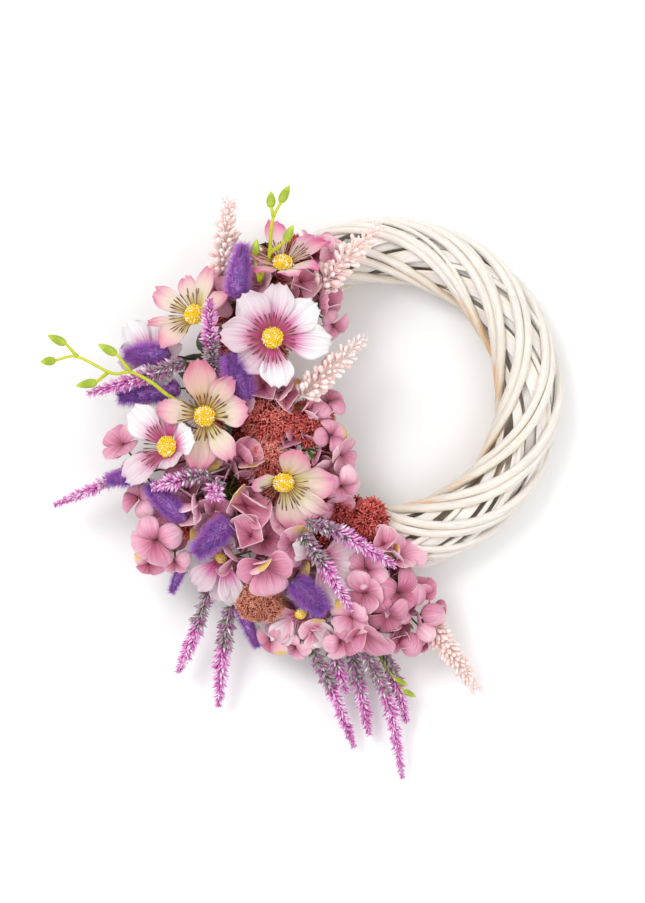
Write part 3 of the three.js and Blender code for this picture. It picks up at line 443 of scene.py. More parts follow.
def floret_finish(shades):
    """Dusty pink cloth, deep at the root, in places pale or marked with yellow, with a pale cut edge."""
    pattern = shades.pattern()
    tint = shades.tint()
    out = shades.group(CLOTH, pattern)
    across, along, _ = shades.parts(pattern)
    shifted = shades.math("ADD", along, shades.limits(out["Ribs"], 0.3, 0.7, -0.1, 0.1))
    deep = shades.ramp(
        shifted, (0.0, 104, 22, 36), (0.2, 158, 66, 92), (0.5, 202, 120, 150), (0.95, 222, 156, 182))
    pale = shades.ramp(
        shifted, (0.0, 140, 44, 62), (0.22, 208, 126, 156), (0.55, 240, 182, 202), (0.95, 250, 214, 222))
    colour = shades.mix(shades.limits(tint, 0.2, 0.8), deep, pale)
    colour = shades.mix(shades.limits(out["Blotch"], 0.35, 0.7, 0.3, 0.0), colour, paint(186, 88, 124))
    colour = shades.mix(shades.limits(out["Ribs"], 0.32, 0.5, 0.22, 0.0), colour, paint(168, 78, 108))
    marked = shades.math("MULTIPLY", shades.limits(shifted, 0.4, 0.7), shades.limits(across, -0.7, 0.1))
    yellow = shades.math("MULTIPLY", shades.limits(tint, 0.895, 0.9), marked)
    colour = shades.mix(yellow, colour, paint(222, 186, 84))
    colour = shades.mix(shades.limits(out["Ribs"], 0.5, 0.8, 0.0, 0.35), colour, paint(250, 206, 220))
    outermost = shades.math("MAXIMUM", shades.math("ABSOLUTE", across), along)
    rim = shades.limits(outermost, 0.955, 1.0, 0.0, 0.65)
    return shades.mix(rim, colour, paint(252, 224, 222)), shades.bump(out["Height"], 0.0006, 0.6)


def tinted_finish(bump_scale, bump_depth, *stops):
    """Colours chosen by the tint of each part, over a fine uneven surface."""

    def build(shades):
        uneven = shades.noise(shades.place(), bump_scale, 3.0)
        tint = shades.math("ADD", shades.tint(), shades.limits(uneven, 0.3, 0.7, -0.06, 0.06))
        return shades.ramp(tint, *stops), shades.bump(uneven, bump_depth, 0.6)

    return build


def tipped_finish(drift, root, tip, *stops):
    """Small parts, each coloured by its tint, which drifts from place to place.

    The root takes from the tint and the tip adds to it, so that a part is darkened below with painted shade
    and lightened above with painted light.
    """

    def build(shades):
        uneven = shades.noise(shades.place(), 60.0, 2.0)
        _, _, along = shades.parts(shades.pattern())
        tint = shades.math("ADD", shades.tint(), shades.limits(uneven, 0.3, 0.7, -drift, drift))
        lit = shades.math("ADD", tint, shades.limits(along, 0.0, 0.9, root, tip))
        return shades.ramp(lit, *stops), None

    return build


def hair_finish(shades):
    """Dyed hair in drifts of blue and red violet, deep at its root and lilac at its tip: partly its dye, and
    partly painted shade below and painted light at the tips.

    A low tint darkens it with painted shade.
    """
    _, along, _ = shades.parts(shades.pattern())
    drift = shades.noise(shades.place(), 90.0, 2.0)
    cool = shades.ramp(along, (0.0, 40, 2, 84), (0.5, 150, 60, 206), (1.0, 222, 176, 248))
    warm = shades.ramp(along, (0.0, 76, 2, 88), (0.5, 190, 70, 206), (1.0, 240, 180, 248))
    colour = shades.mix(shades.limits(drift, 0.34, 0.54), cool, warm)
    painted_shade = shades.limits(shades.tint(), 0.0, 1.0, 0.9, 0.0)
    return shades.mix(painted_shade, colour, paint(196, 164, 222), "MULTIPLY"), None


WILLOW = material(
    "painted_willow", 0.55, willow_finish((236, 231, 223), (212, 200, 190), (236, 176, 100), 0.5))
WILLOW_UNDER = material(
    "painted_strip", 0.65, willow_finish((240, 236, 231), (220, 211, 204), (222, 190, 150), 0.2))
# The core's whites are darker than the rods': painted shade that shows through the gaps between the strips.
WILLOW_CORE = material(
    "shaded_core", 0.85, willow_finish((222, 206, 190), (186, 170, 154), (190, 150, 112), 0.4))

# Each: the colours from root to edge; the colour of the rim, painted shade on white and blush petals and
# their own pink edge on the others;
# and the flush, partly the petals' own pink and partly painted shade
PETAL_COLOURS = {
    "white": (
        ((0.12, 206, 44, 132), (0.32, 228, 98, 168), (0.46, 232, 168, 202), (0.58, 238, 216, 226),
         (0.76, 243, 240, 241)), (222, 206, 210), (226, 188, 204)),
    "cream": (
        ((0.1, 178, 168, 66), (0.28, 230, 216, 134), (0.48, 240, 226, 198), (0.74, 238, 206, 200),
         (1.0, 232, 146, 176)), (232, 168, 186), (222, 156, 164)),
    "pink": (
        ((0.08, 196, 172, 100), (0.28, 244, 228, 204), (0.6, 240, 206, 208), (0.98, 232, 116, 168)),
        (226, 140, 176), (238, 190, 200)),
    "blush": (
        ((0.08, 186, 66, 124), (0.35, 228, 164, 190), (0.58, 240, 220, 226), (0.9, 246, 240, 240)),
        (236, 222, 224), (232, 190, 202)),
}
PETALS = {
    kind: material(f"{kind}_petal_cloth", 0.7, petal_finish(*colours), sheen=0.1, subsurface=0.08)
    for kind, colours in PETAL_COLOURS.items()
}
FLORET = material("floret_cloth", 0.72, floret_finish, sheen=0.15, subsurface=0.1)
DOME = material("beaded_dome", 0.4, tinted_finish(
    900.0, 0.0003, (0.0, 84, 46, 30), (0.22, 146, 92, 62), (0.38, 176, 122, 16), (0.5, 238, 192, 14),
    (0.7, 250, 218, 34), (0.88, 252, 250, 236)))
# Moss, clumps and grains darken towards their roots and lighten towards their tips: painted shade and painted
# light.
MOSS = material("rose_moss", 0.95, tipped_finish(
    0.16, -0.3, 0.14, (0.0, 104, 30, 34), (0.3, 182, 72, 70), (0.55, 232, 110, 102), (0.8, 246, 148, 134),
    (1.0, 252, 188, 172)))
CLUMP = material("terracotta_moss", 0.95, tipped_finish(
    0.16, -0.3, 0.14, (0.0, 112, 56, 44), (0.4, 196, 112, 92), (0.75, 234, 158, 132), (1.0, 250, 198, 172)))
GRAINS = material("powder_and_highlight_grains", 0.85, tipped_finish(
    0.05, -0.12, 0.14, (0.0, 74, 78, 60), (0.14, 130, 130, 112), (0.3, 186, 172, 178), (0.42, 168, 62, 142),
    (0.58, 216, 110, 190), (0.76, 238, 176, 224), (1.0, 250, 232, 246)), sheen=0.1)
BELLS = material("pale_bells", 0.75, tinted_finish(
    600.0, 0.0003, (0.0, 180, 184, 160), (0.2, 250, 212, 205), (0.5, 253, 220, 214), (0.8, 254, 232, 228),
    (1.0, 254, 242, 240)), sheen=0.1, subsurface=0.6)
HAIR = material("tail_hair", 0.7, hair_finish, sheen=0.3)
# The dark leaves are partly real leaves and partly painted shade that fills the gaps between the flowers.
LEAF = material("dark_leaf", 0.6, tinted_finish(
    180.0, 0.0006, (0.0, 38, 48, 30), (0.5, 62, 80, 48), (0.8, 96, 106, 74), (1.0, 84, 50, 58)))
GREEN = material("fresh_green", 0.42, tinted_finish(
    260.0, 0.0005, (0.0, 44, 52, 26), (0.3, 92, 104, 24), (0.45, 176, 184, 16), (0.6, 200, 204, 22),
    (0.75, 142, 166, 28), (1.0, 196, 206, 64)))


# Willow ring


# Rings of a stick's mesh for each turn that it makes round the ring
RING_STEPS = 110
# How many times a long rod winds round the tube in one turn of the ring, and a split strip the other way
ROD_WINDING = 2 + 1 / 12
STRIP_WINDING = -(2 - 1 / 6)
ROD_RADII = (3.5, 3.8, 3.2, 3.6)
STRIP_WIDTHS = (13.0, 11.4, 9.2)
# Each short rod: degrees round the ring and round the tube where it starts, and its radius
SHORT_RODS = ((-30, 108, 2.2), (-18, 96, 2.6), (74, 112, 2.3), (22, 90, 2.2), (-52, 120, 2.6))


def end_taper(f, turns):
    """One along a stick, sinking as a square root to its rounded ends."""
    return np.sqrt(np.clip(np.minimum(f, 1 - f) * turns * 40, 0.02, 1))


def wound_stick(
    body, start, turns, around, winding, reach, radius, seed, sides=12, pair=0.0, steps=RING_STEPS, lean=0.0):
    """A stick wound round the ring: its angle round the tube grows evenly with its turn, with a slow waver.

    Its radius swells and thins by some per cent on long waves, with short swellings at its knots. Pair is how
    far it swings towards its neighbour and away, and lean where along it that begins.
    """
    draw = np.random.default_rng(seed)
    sweep = 360 * turns - 4
    f = np.linspace(0, 1, int(steps * turns))
    turn = start - f * sweep
    waver = sum(
        size * draw.uniform(0.5, 1) * np.sin(f * turns * k + draw.uniform(0, 6.3))
        for k, size in ((4, 3.0), (7, 2.0), (13, 1.2)))
    angle = around + winding * f * sweep + waver + pair * np.sin(np.pi * (lean + f * turns))
    depth = reach + 0.5 * np.sin(f * turns * 11 + draw.uniform(0, 6.3))
    path = on_tube(turn, angle, depth)
    waves = sum(draw.uniform(0.02, 0.05) * np.sin(f * turns * k + draw.uniform(0, 6.3)) for k in (4, 13, 23))
    at_knots = draw.uniform(0, 1, int(4 * turns))
    knots = sum(0.16 * np.exp(-(((f - at) * turns * 260) ** 2) / 9) for at in at_knots)
    thickness = radius * (1 + waves + knots) * end_taper(f, turns)
    path[:, 2] = np.maximum(path[:, 2], 1.07 * thickness)
    inner = np.clip(-np.cos(np.radians(angle)), 0, 1)
    wear = 0.15 + 0.55 * inner**2 + draw.uniform(-0.12, 0.12)
    body.tube(path, thickness, sides, path - on_tube(turn, angle, 0.0), wear, 0.03)


def wide_strip(body, start, turns, around, winding, reach, width, thickness, seed):
    """A flat split strip wound the other way round the tube, its face turned outward, its edges rounded.

    Its section is a superellipse, wide and low, whose width swells and thins on two waves.
    """
    draw = np.random.default_rng(seed)
    sides = 12
    sweep = 360 * turns - 4
    f = np.linspace(0, 1, int(RING_STEPS * turns))
    turn = start - f * sweep
    angle = around + winding * f * sweep + 2.0 * np.sin(f * turns * 7 + draw.uniform(0, 6.3))
    path = on_tube(turn, angle, reach + 0.4 * np.sin(f * turns * 9 + seed))
    _, side, top = along_frames(path, unit(path - on_tube(turn, angle, 0.0)))
    spread = width / 2 * (1 + 0.14 * np.sin(f * turns * 6 + seed) + 0.05 * np.sin(f * turns * 21 + seed))
    corner = np.arange(sides) / sides * 2 * np.pi
    across = np.sign(np.cos(corner)) * np.abs(np.cos(corner)) ** 0.55
    up = np.sign(np.sin(corner)) * np.abs(np.sin(corner)) ** 0.75
    taper = end_taper(f, turns)
    spread, height = (spread * taper)[:, None, None], (thickness / 2 * taper)[:, None, None]
    rings = path[:, None] + spread * across[:, None] * side[:, None] + height * up[:, None] * top[:, None]
    shape = rings.shape[:2]
    length = np.broadcast_to((f * sweep * 2.1)[:, None], shape)
    pattern = np.stack([np.broadcast_to(across * width / 2, shape), np.broadcast_to(up, shape), length], -1)
    places = np.vstack([rings.reshape(-1, 3), path[:1], path[-1:]])
    patterns = np.vstack([pattern.reshape(-1, 3), pattern[0, :1], pattern[-1, :1]])
    quads, fans = grid_quads(len(path), sides, True), end_fans(len(path), sides)
    body.add(places, quads, fans, patterns, 0.3 + 0.2 * draw.random())


def make_ring():
    """Four long rods of three turns, thin ones between them, split strips the other way, and a core in darker
    whites, which is painted shade for the gaps.
    """
    for index, radius in enumerate(ROD_RADII):
        rods = Body()
        wound_stick(
            rods, 198, 3, index * 90, ROD_WINDING, ROD_REACH, radius, 11 + index, pair=6.8, lean=index * 3)
        rods.finish(f"willow_rod_{index + 1}_bark", WILLOW, "willow", f"willow_rod_{index + 1}")
    thin = Body()
    for index in range(2):
        wound_stick(thin, 196 - 31 * index, 1, 40 + 150 * index, 2.6, 24.0, 1.9, 41 + index, sides=10)
    for index, (start, around, radius) in enumerate(SHORT_RODS):
        wound_stick(thin, start, 0.22, around, -1.6, 22.6, radius, 45 + index, sides=10)
    thin.finish("willow_thin_rods", WILLOW, "willow")
    for index, width in enumerate(STRIP_WIDTHS):
        strips = Body()
        wide_strip(strips, 188, 2, -120 * index, STRIP_WINDING, 20.0, width, 2.2, 51 + index)
        node = f"willow_under_strip_{index + 1}"
        strips.finish(f"{node}_face", WILLOW_UNDER, "willow_under", node)
    more = Body()
    for index in range(2):
        wide_strip(more, 192, 2, 30 - 120 * index, STRIP_WINDING, 16.6 - 0.4 * index, 8.0, 1.8, 61 + index)
    more.finish("willow_deep_strips", WILLOW_UNDER, "willow_under")
    core = Body()
    for index in range(7):
        wound_stick(core, 190 - 20 * index, 1, index * 360 / 7, 2, 9.6, 4.6, 71 + index, sides=8, steps=80)
    core.finish("willow_core_rods", WILLOW_CORE, "willow_inner", "willow_inner_bundle")


# Moss


def moss_twig(seed):
    """A forked twig one unit tall: a three-sided stub that divides into three fingers.

    Its places are its pattern too, so that its colour follows its height: painted shade low down and painted
    light at the fingers' ends.
    """
    draw = np.random.default_rng(seed)
    twig = Body()
    stub = np.array([[0, 0, -0.2], [0.05, 0, 0.4]])
    twig.tube(stub, [0.15, 0.14], 3, (1.0, 0.0, 0.0))
    for turn in (0.3, 2.4, 4.5):
        turn += draw.uniform(-0.4, 0.4)
        spread = draw.uniform(0.3, 0.55)
        tip = (spread * math.cos(turn), spread * math.sin(turn), draw.uniform(0.85, 1.05))
        twig.tube(np.array([(0.05, 0, 0.3), tip]), [0.15, 0.07], 3, (1.0, 0.0, 0.0))
    places, quads, triangles, _ = twig.shape()
    return places, quads, triangles, places


TWIGS = [moss_twig(seed) for seed in (1, 2, 3)]


def turned_frames(normals, draw, tilt):
    """A frame for each normal, tilted at random by up to tilt and turned at random about it."""
    face = unit(normals + tilt * draw.normal(size=normals.shape))
    helper = unit(draw.normal(size=normals.shape))
    east = unit(np.cross(helper, face))
    return np.stack([east, np.cross(face, east), face], axis=-1)


def strew_twigs(body, places, normals, size, tint, draw, tilt=0.45):
    """Moss twigs on places along normals, in three shapes, their sizes and tints varied."""
    for index, twig in enumerate(TWIGS):
        at, out = places[index::3], normals[index::3]
        sizes = size * draw.uniform(0.7, 1.25, len(at))
        body.scatter(twig, at, turned_frames(out, draw, tilt), sizes, tint + draw.normal(0, 0.13, len(at)))


def moss_dome(body, at, wide, tall, count, size, tint, seed):
    """A clump: a low uneven dome, its reach a half ball scaled to wide and tall, covered in twigs."""
    draw = np.random.default_rng(seed)
    index = np.arange(count) + 0.5
    height = 1 - 0.98 * index / count
    turn = index * GOLDEN_ANGLE
    flat = np.sqrt(np.maximum(1 - height**2, 0))
    ball = np.stack([flat * np.cos(turn), flat * np.sin(turn), height], -1)
    lumps = 0.1 * np.sin(3 * turn + seed) * flat
    lumps += 0.08 * np.sin(9 * ball[:, 0] + seed) * np.cos(8 * ball[:, 1])
    uneven = 0.84 + lumps + draw.uniform(-0.1, 0.07, count)
    scale = np.array([wide, wide, tall])
    places = np.asarray(at) + ball * scale * uneven[:, None] * 0.9
    strew_twigs(body, places, unit(ball / scale), size, tint, draw)
    rows, columns = 7, 16
    down, around = np.linspace(0.03, 1, rows) * np.pi / 2, np.arange(columns) / columns * 2 * np.pi
    v, u = np.meshgrid(down, around, indexing="ij")
    rings = np.stack([np.sin(v) * np.cos(u), np.sin(v) * np.sin(u), np.cos(v)], -1)
    core = np.vstack([rings.reshape(-1, 3) * scale * 0.84, [[0, 0, tall * 0.84], [0, 0, -0.5]]])
    quads, fans = grid_quads(rows, columns, True)[:, ::-1], end_fans(rows, columns)[:, ::-1]
    # The core takes the moss's darkest colour: painted shade that shows between the twigs.
    body.add(np.asarray(at) + core, quads, fans, 0.0, 0.2)


def bed_taper(turn):
    """From nothing at each end of the crescent to one within fourteen degrees, as a quarter circle."""
    inward = np.clip(np.minimum(turn - BED_START - 7, BED_END - turn) / 14, 0, 1)
    return np.sqrt(1 - (1 - inward) ** 2)


def bed_place(turn, across, depth):
    """A place on the moss: across runs from the outer rim to the inner, and depth is the share of the swell.

    The swell is two crossed waves, and it sinks among the rods where the bed tapers. The rims wander in waves
    and draw together at the ends.
    """
    taper = bed_taper(turn)
    outer = BED_AROUND[0] + 7 * np.sin(turn * 0.31) + 4 * np.sin(turn * 0.83) + 60 * (1 - taper)
    inner = BED_AROUND[1] + 5 * np.sin(turn * 0.4 + 1) - 60 * (1 - taper)
    around = outer + (inner - outer) * across
    swell = 7 * (0.72 + 0.28 * np.sin(turn * 0.9 + around * 1.3) * np.cos(around * 0.21))
    return on_tube(turn, around, BED_INNER + depth * swell - 6 * (1 - taper)), on_tube(turn, around, 0.0)


# The clumps on each bed: x, y, z, half width, height and tint
MOSS_CLUMPS = {
    "upper": [(-72, 92, 58, 13, 14, 0.5)],
    "middle": [
        (-97, -20, 57, 29, 25, 0.62), (-101, -53, 62, 18, 19, 0.7), (-62, -26, 56, 20, 18, 0.52),
        (-163, -110, 52, 13, 15, 0.6)],
    "lower": [
        (-64, -74, 51, 16, 14, 0.35), (-46, -58, 46, 14, 15, 0.35), (-42, -92, 53, 15, 13, 0.38),
        (-14, -104, 54, 15, 14, 0.36)],
}
LOOSE_CLUMP = (-105, -173, 66)
BED_TWIGS = 1140


def make_moss():
    """Three beds over the ring, each a swollen slab strewn with twigs, with taller clumps on it."""
    length = (BED_END - BED_START) / 3
    for part, (label, clumps) in enumerate(MOSS_CLUMPS.items()):
        draw = np.random.default_rng(100 + part)
        body = Body()
        start = BED_START + 7.2 * (part == 0) + part * length
        end = BED_START + (part + 1) * length - 0.2 * (part == 2)
        turn, across = np.meshgrid(np.linspace(start, end, 30), np.linspace(0, 1, 30), indexing="ij")
        surface, _ = bed_place(turn, across, 0.5)
        # The slab takes the moss's darkest colour: painted shade that shows between the twigs.
        body.sheet(surface[:, ::-1], 3.0, np.zeros(surface.shape), 0.16)
        turn = start + (end - start) * draw.random(BED_TWIGS)
        places, hubs = bed_place(turn, draw.uniform(-0.02, 1.02, BED_TWIGS), 0.6)
        strew_twigs(body, places, unit(places - hubs), 5.6, 0.42, draw, 0.7)
        body.finish(f"moss_{label}", MOSS, "moss", f"moss_bed_{label}")
        tufts = Body()
        for index, (x, y, z, wide, tall, tint) in enumerate(clumps):
            moss_dome(tufts, (x, y, z), wide, tall, int(wide * tall * 1.15), 6.0, tint, 7 * part + index)
        tufts.finish(f"moss_tufts_{label}", MOSS, "moss")
    clump = Body()
    moss_dome(clump, LOOSE_CLUMP, 21, 14, 660, 3.7, 0.6, 47)
    clump.tube(np.array([LOOSE_CLUMP, anchor(LOOSE_CLUMP)]), 1.2, 6, (1.0, 0.0, 0.0), 0.1)
    clump.finish("moss_loose_clump", CLUMP, "moss_clump", "moss_clump_lower")


# Open flowers

# Each: name, middle, the way it faces, petal width, kind, lift, the arc of its stamens, and its petals,
# whose values petal_habit names
COSMOS = [
    ("front", (-94, 45, 100), (0.05, 0, 1), 29.5, "white", 8, (0, 360),
     ((125, 43, 1, 0, 0.7), (83, 45, 1, 0, 0.6), (38, 46, 1, 0, 0.3), (-7, 49, 1, 0, 0.2),
      (-85, 41, 1, 0, 0.35), (-135, 36, 1, 0, 1), (175, 43, 1, 0, 0.9))),
    ("left", (-179, -45, 90), (-0.5, 0.12, 0.78), 28, "white", 17, (95, 265),
     ((138, 44, 1.1), (87, 40, 0.85), (16, 29), (222, 44), (-66, 18))),
    ("middle", (-150, -19, 96), (0, -0.12, 1), 28, "cream", 9, (0, 360),
     ((97, 47, 1, 0, 0.8), (58, 40, 0.7, 0, 0.6), (12, 36, 1, 0, 0.3), (-58, 42, 0.8, 0, 0.3),
      (-96, 46, 1, 0, 0.6), (172, 40, 0.8, 0, 0.5))),
    ("upper_left", (-157, 63, 88), (-0.45, 0.35, 0.82), 24, "cream", 12, (70, 270),
     ((156, 44, 0.85, 0, 0.3), (112, 39, 0.7, 0, 0.2), (74, 41, 0.75, 0, 0.2), (34, 32, 0.7, 0, 0.5),
      (195, 42, 0.4, 4, 0.4), (232, 38, 1, 0, 0.5))),
    ("top", (-86, 104, 92), (0.05, 0.8, 0.6), 24, "pink", 22, (-25, 205),
     ((98, 42, 0.8), (50, 42, 0.62), (20, 42, 0.78), (-28, 32, 0.8, 2), (-78, 30, 0.9, -4),
      (-135, 34, 0.6, 2), (176, 28, 0.8))),
    ("lower", (-85, -72, 92), (0, -0.55, 0.8), 28, "cream", 15, (-185, 20),
     ((67, 37), (4, 42), (-38, 45, 0.8), (-79, 44), (166, 26, 0.7, 8))),
]
# Each: node, middle, the way it faces, kind and petals
HIDDEN_COSMOS = [
    ("cosmos_low_left", (-136.6, -136.3, 66.4), (-0.3, -0.5, 0.8), "white",
     ((222, 36), (-102, 42, 0.8), (-78, 44), (62, 26, 0.6))),
    ("cosmos_far_left", (-193, 28, 66), (-0.3, 0.3, 0.9), "white",
     ((132, 38), (95, 32), (180, 30), (30, 26), (-60, 26))),
    ("cosmos_low_right", (-57, -137, 72), (0.3, 0.1, 1), "blush",
     ((18, 38), (-34, 42), (-74, 42), (150, 24))),
    ("cosmos_bottom", (-71, -183, 60), (0, -0.5, 0.8), "blush",
     ((184, 28), (224, 34), (-84, 28), (-44, 36), (60, 24))),
]


def petal_frame(turned, angle):
    """Columns for a petal that leaves the middle at an angle: across it, outward along it and up the face."""
    radial = turned @ np.array([math.cos(angle), math.sin(angle), 0.0])
    return np.stack([np.cross(radial, turned[:, 2]), radial, turned[:, 2]], axis=-1)


def petal_habit(degrees, length, share=1.0, tilt=0.0, flush_and_shade=None):
    """A petal's direction, length, share of the flower's petal width, further lift, and depth of flush, which
    is partly the petal's own pink and partly painted shade.
    """
    return degrees, length, share, tilt, flush_and_shade


def cosmos_petal(length, width, lift, draw):
    """One petal beside the y axis: x across, y outward and z up.

    Its half width rises as a sine to its broadest at two thirds and rounds in to a toothed end.
    Its height is a rise that droops with the cube of the way out, plus ribs, side cups and a twist.
    """
    v, u = np.meshgrid(np.linspace(0, 1, 20), np.linspace(-1, 1, 19), indexing="ij")
    broad = 0.14 + 0.86 * np.sin(np.pi / 2 * np.minimum(v / 0.7, 1)) ** 1.5
    broad *= 1 - 0.34 * np.clip((v - 0.66) / 0.34, 0, 1) ** 2
    shift = draw.uniform(-0.6, 0.6)
    notches = 0.024 * np.cos(3 * np.pi * u + shift) + 0.01 * np.cos(6.5 * np.pi * u + 2 * shift)
    teeth = length * notches * v**8
    side = draw.uniform(-1, 1)
    x = u * width / 2 * broad + side * 0.05 * length * v**2
    y = 3.6 + (length - 3.6) * v * (1 - 0.13 * np.abs(u) ** 2.8 * v**2) + teeth
    ribs = 0.5 * np.cos(5 * np.pi * u) - 0.7 * np.exp(-((u / 0.16) ** 2))
    ribs *= np.sin(np.pi * np.clip(v * 0.92 + 0.06, 0, 1))
    cup = draw.uniform(0.04, 0.24) * width * u**2 * v
    curl = draw.uniform(-0.06, 0.13) * length * v**5
    wave = 0.03 * length * np.sin(2.2 * np.pi * u + draw.uniform(0, 6.3)) * v**3
    z = length * (math.sin(math.radians(lift)) * v - 0.1 * v**3) + ribs + cup - curl + wave
    z += draw.uniform(-0.12, 0.12) * width * u * v
    return np.stack([x, y, z], -1), np.stack([u, v, np.zeros_like(u)], -1)


def add_corolla(body, at, face, petals, width, lift, seed):
    """Petals round a middle: the odd ones lie a step higher, as the solid's do."""
    draw = np.random.default_rng(seed)
    turned, at = facing(face), np.asarray(at, float)
    ordered = sorted(petals)
    for index, petal in enumerate(ordered):
        degrees, length, share, tilt, flush_and_shade = petal_habit(*petal)
        layer = 2 if index == len(ordered) - 1 and index % 2 == 0 else index % 2
        risen = lift + tilt + 5 * layer + draw.uniform(-4, 3)
        sheet, pattern = cosmos_petal(length, width * share * draw.uniform(0.94, 1.04), risen, draw)
        own = petal_frame(turned, math.radians(degrees))
        pattern = pattern + np.array([0, 0, index * 0.37])
        chance = draw.random()
        body.sheet(sheet @ own.T + at, 0.45, pattern, chance if flush_and_shade is None else flush_and_shade)
    cup = np.array([[0, 0, -4.4], [0, 0, -2.0], [0, 0, -0.4], [0, 0, 0.3]]) @ turned.T + at
    body.tube(cup, [1.6, 3.4, 4.6, 4.4], 12, turned[:, 0], 0.5)


def icosphere(levels):
    """Places and triangles of a ball of radius one: twenty faces, their edges halved levels times."""
    golden = (1 + math.sqrt(5)) / 2
    corners = [
        (-1, golden, 0), (1, golden, 0), (-1, -golden, 0), (1, -golden, 0), (0, -1, golden), (0, 1, golden),
        (0, -1, -golden), (0, 1, -golden), (golden, 0, -1), (golden, 0, 1), (-golden, 0, -1), (-golden, 0, 1)]
    places = unit(np.array(corners, float))
    faces = np.array([
        (0, 11, 5), (0, 5, 1), (0, 1, 7), (0, 7, 10), (0, 10, 11), (1, 5, 9), (5, 11, 4), (11, 10, 2),
        (10, 7, 6), (7, 1, 8), (3, 9, 4), (3, 4, 2), (3, 2, 6), (3, 6, 8), (3, 8, 9), (4, 9, 5), (2, 4, 11),
        (6, 2, 10), (8, 6, 7), (9, 8, 1)])
    for _ in range(levels):
        edges = np.sort(np.vstack([faces[:, [0, 1]], faces[:, [1, 2]], faces[:, [2, 0]]]), axis=1)
        kept, where = np.unique(edges, axis=0, return_inverse=True)
        middle = len(places) + where.reshape(3, -1)
        places = np.vstack([places, unit(places[kept[:, 0]] + places[kept[:, 1]])])
        a, b, c = faces.T
        ab, bc, ca = middle
        faces = np.vstack([np.stack(t, -1) for t in ((a, ab, ca), (b, bc, ab), (c, ca, bc), (ab, bc, ca))])
    return places, np.zeros((0, 4), int), faces, np.zeros((len(places), 3))


TINY_BALL, SMALL_BALL, DOME_BALL = icosphere(0), icosphere(1), icosphere(2)
# A stamen's radius and tint from its root to its knob and beyond
STAMEN_RADII = (0.36, 0.34, 0.32, 0.32, 0.36, 0.7, 0.45)
STAMEN_TINTS = (0.24, 0.24, 0.22, 0.2, 0.17, 0.1, 0.08)
# Degrees between the stamens of a whole flower and of a half hidden one
STAMEN_GAP, HIDDEN_STAMEN_GAP = 10.5, 40


def add_centre(body, at, face, seed, arc, lift, scale=1.0):
    """A dome of beads on a golden-angle spiral, ringed by stamens that rise over the petals' lift to knobs.

    Arc is the part of the ring that has stamens. The stem goes down from the dome to the moss.
    """
    draw = np.random.default_rng(seed)
    turned, at = facing(face), np.asarray(at, float)
    places, _, triangles, _ = DOME_BALL
    dome = places * scale * np.array([8.3, 8.3, 5.6]) + np.array([0, 0, 3.6 * scale])
    body.add(dome @ turned.T + at, None, triangles, 0.0, 0.5)
    count = int(200 * scale)
    index = np.arange(count) + 0.5
    height = 1 - 1.05 * index / count
    flat = np.sqrt(1 - height**2)
    turn = index * GOLDEN_ANGLE
    spiral = np.stack([flat * np.cos(turn), flat * np.sin(turn), height], -1)
    spiral += 0.04 * draw.normal(size=(count, 3))
    white = draw.random(count) < 0.3
    for chosen, size, tint in ((~white, 0.95, 0.6), (white, 0.72, 0.94)):
        number = int(chosen.sum())
        seats = (spiral[chosen] * np.array([8.5, 8.5, 5.8]) + np.array([0, 0, 3.6])) * scale @ turned.T + at
        frames = np.broadcast_to(turned, (number, 3, 3))
        sizes = size * draw.uniform(0.75, 1.15, number)
        body.scatter(TINY_BALL, seats, frames, sizes, tint + draw.normal(0, 0.03, number))
    stamens = int((arc[1] - arc[0]) / (STAMEN_GAP if scale == 1.0 else HIDDEN_STAMEN_GAP))
    share = (np.arange(stamens) + 0.5) / stamens
    for turn in np.radians(arc[0] + (arc[1] - arc[0]) * share):
        turn += draw.uniform(-0.06, 0.06)
        reach = scale * draw.uniform(17.5, 22.5)
        rise = reach * math.sin(math.radians(lift + draw.uniform(8, 18)))
        out = np.array([math.cos(turn), math.sin(turn), 0])
        bend = np.array([out * 7.4 * scale, out * (reach * 0.6), out * reach])
        bend[:, 2] += (4.4 * scale, 3.6 * scale + rise * 0.5, 2.4 * scale + rise)
        bend[1] += 0.5 * draw.normal() * np.cross(out, (0, 0, 1))
        path = smooth_path(bend, len(STAMEN_RADII))
        body.tube(path @ turned.T + at, STAMEN_RADII, 4, turned[:, 2], STAMEN_TINTS)
    foot = at - turned[:, 2] * 4
    body.tube(smooth_path([at + turned[:, 2] * 2, foot, anchor(foot)], 8), 1.3, 6, turned[:, 0], 0.3)


def make_cosmos():
    """The open flowers, each a corolla and a beaded centre, and the half hidden ones with small centres."""
    for number, (label, at, face, width, kind, lift, arc, petals) in enumerate(COSMOS):
        corolla, centre = Body(), Body()
        add_corolla(corolla, at, face, petals, width, lift, 200 + number)
        corolla.finish(f"cosmos_{label}_corolla", PETALS[kind], f"{kind}_petal", f"cosmos_{label}_petals")
        add_centre(centre, at, face, 220 + number, arc, lift)
        centre.finish(f"cosmos_{label}_heart", DOME, "flower_dome", f"cosmos_{label}_centre")
    hearts = Body()
    for number, (node, at, face, kind, petals) in enumerate(HIDDEN_COSMOS):
        corolla = Body()
        add_corolla(corolla, at, face, petals, 25, 10, 240 + number)
        slot = "white_petal" if kind == "white" else "pink_petal"
        corolla.finish(f"{node}_corolla", PETALS[kind], slot, node)
        add_centre(hearts, at, face, 260 + number, (0, 360), 10, 0.5)
    hearts.finish("hidden_flower_hearts", DOME, "flower_dome")


# Hydrangea florets

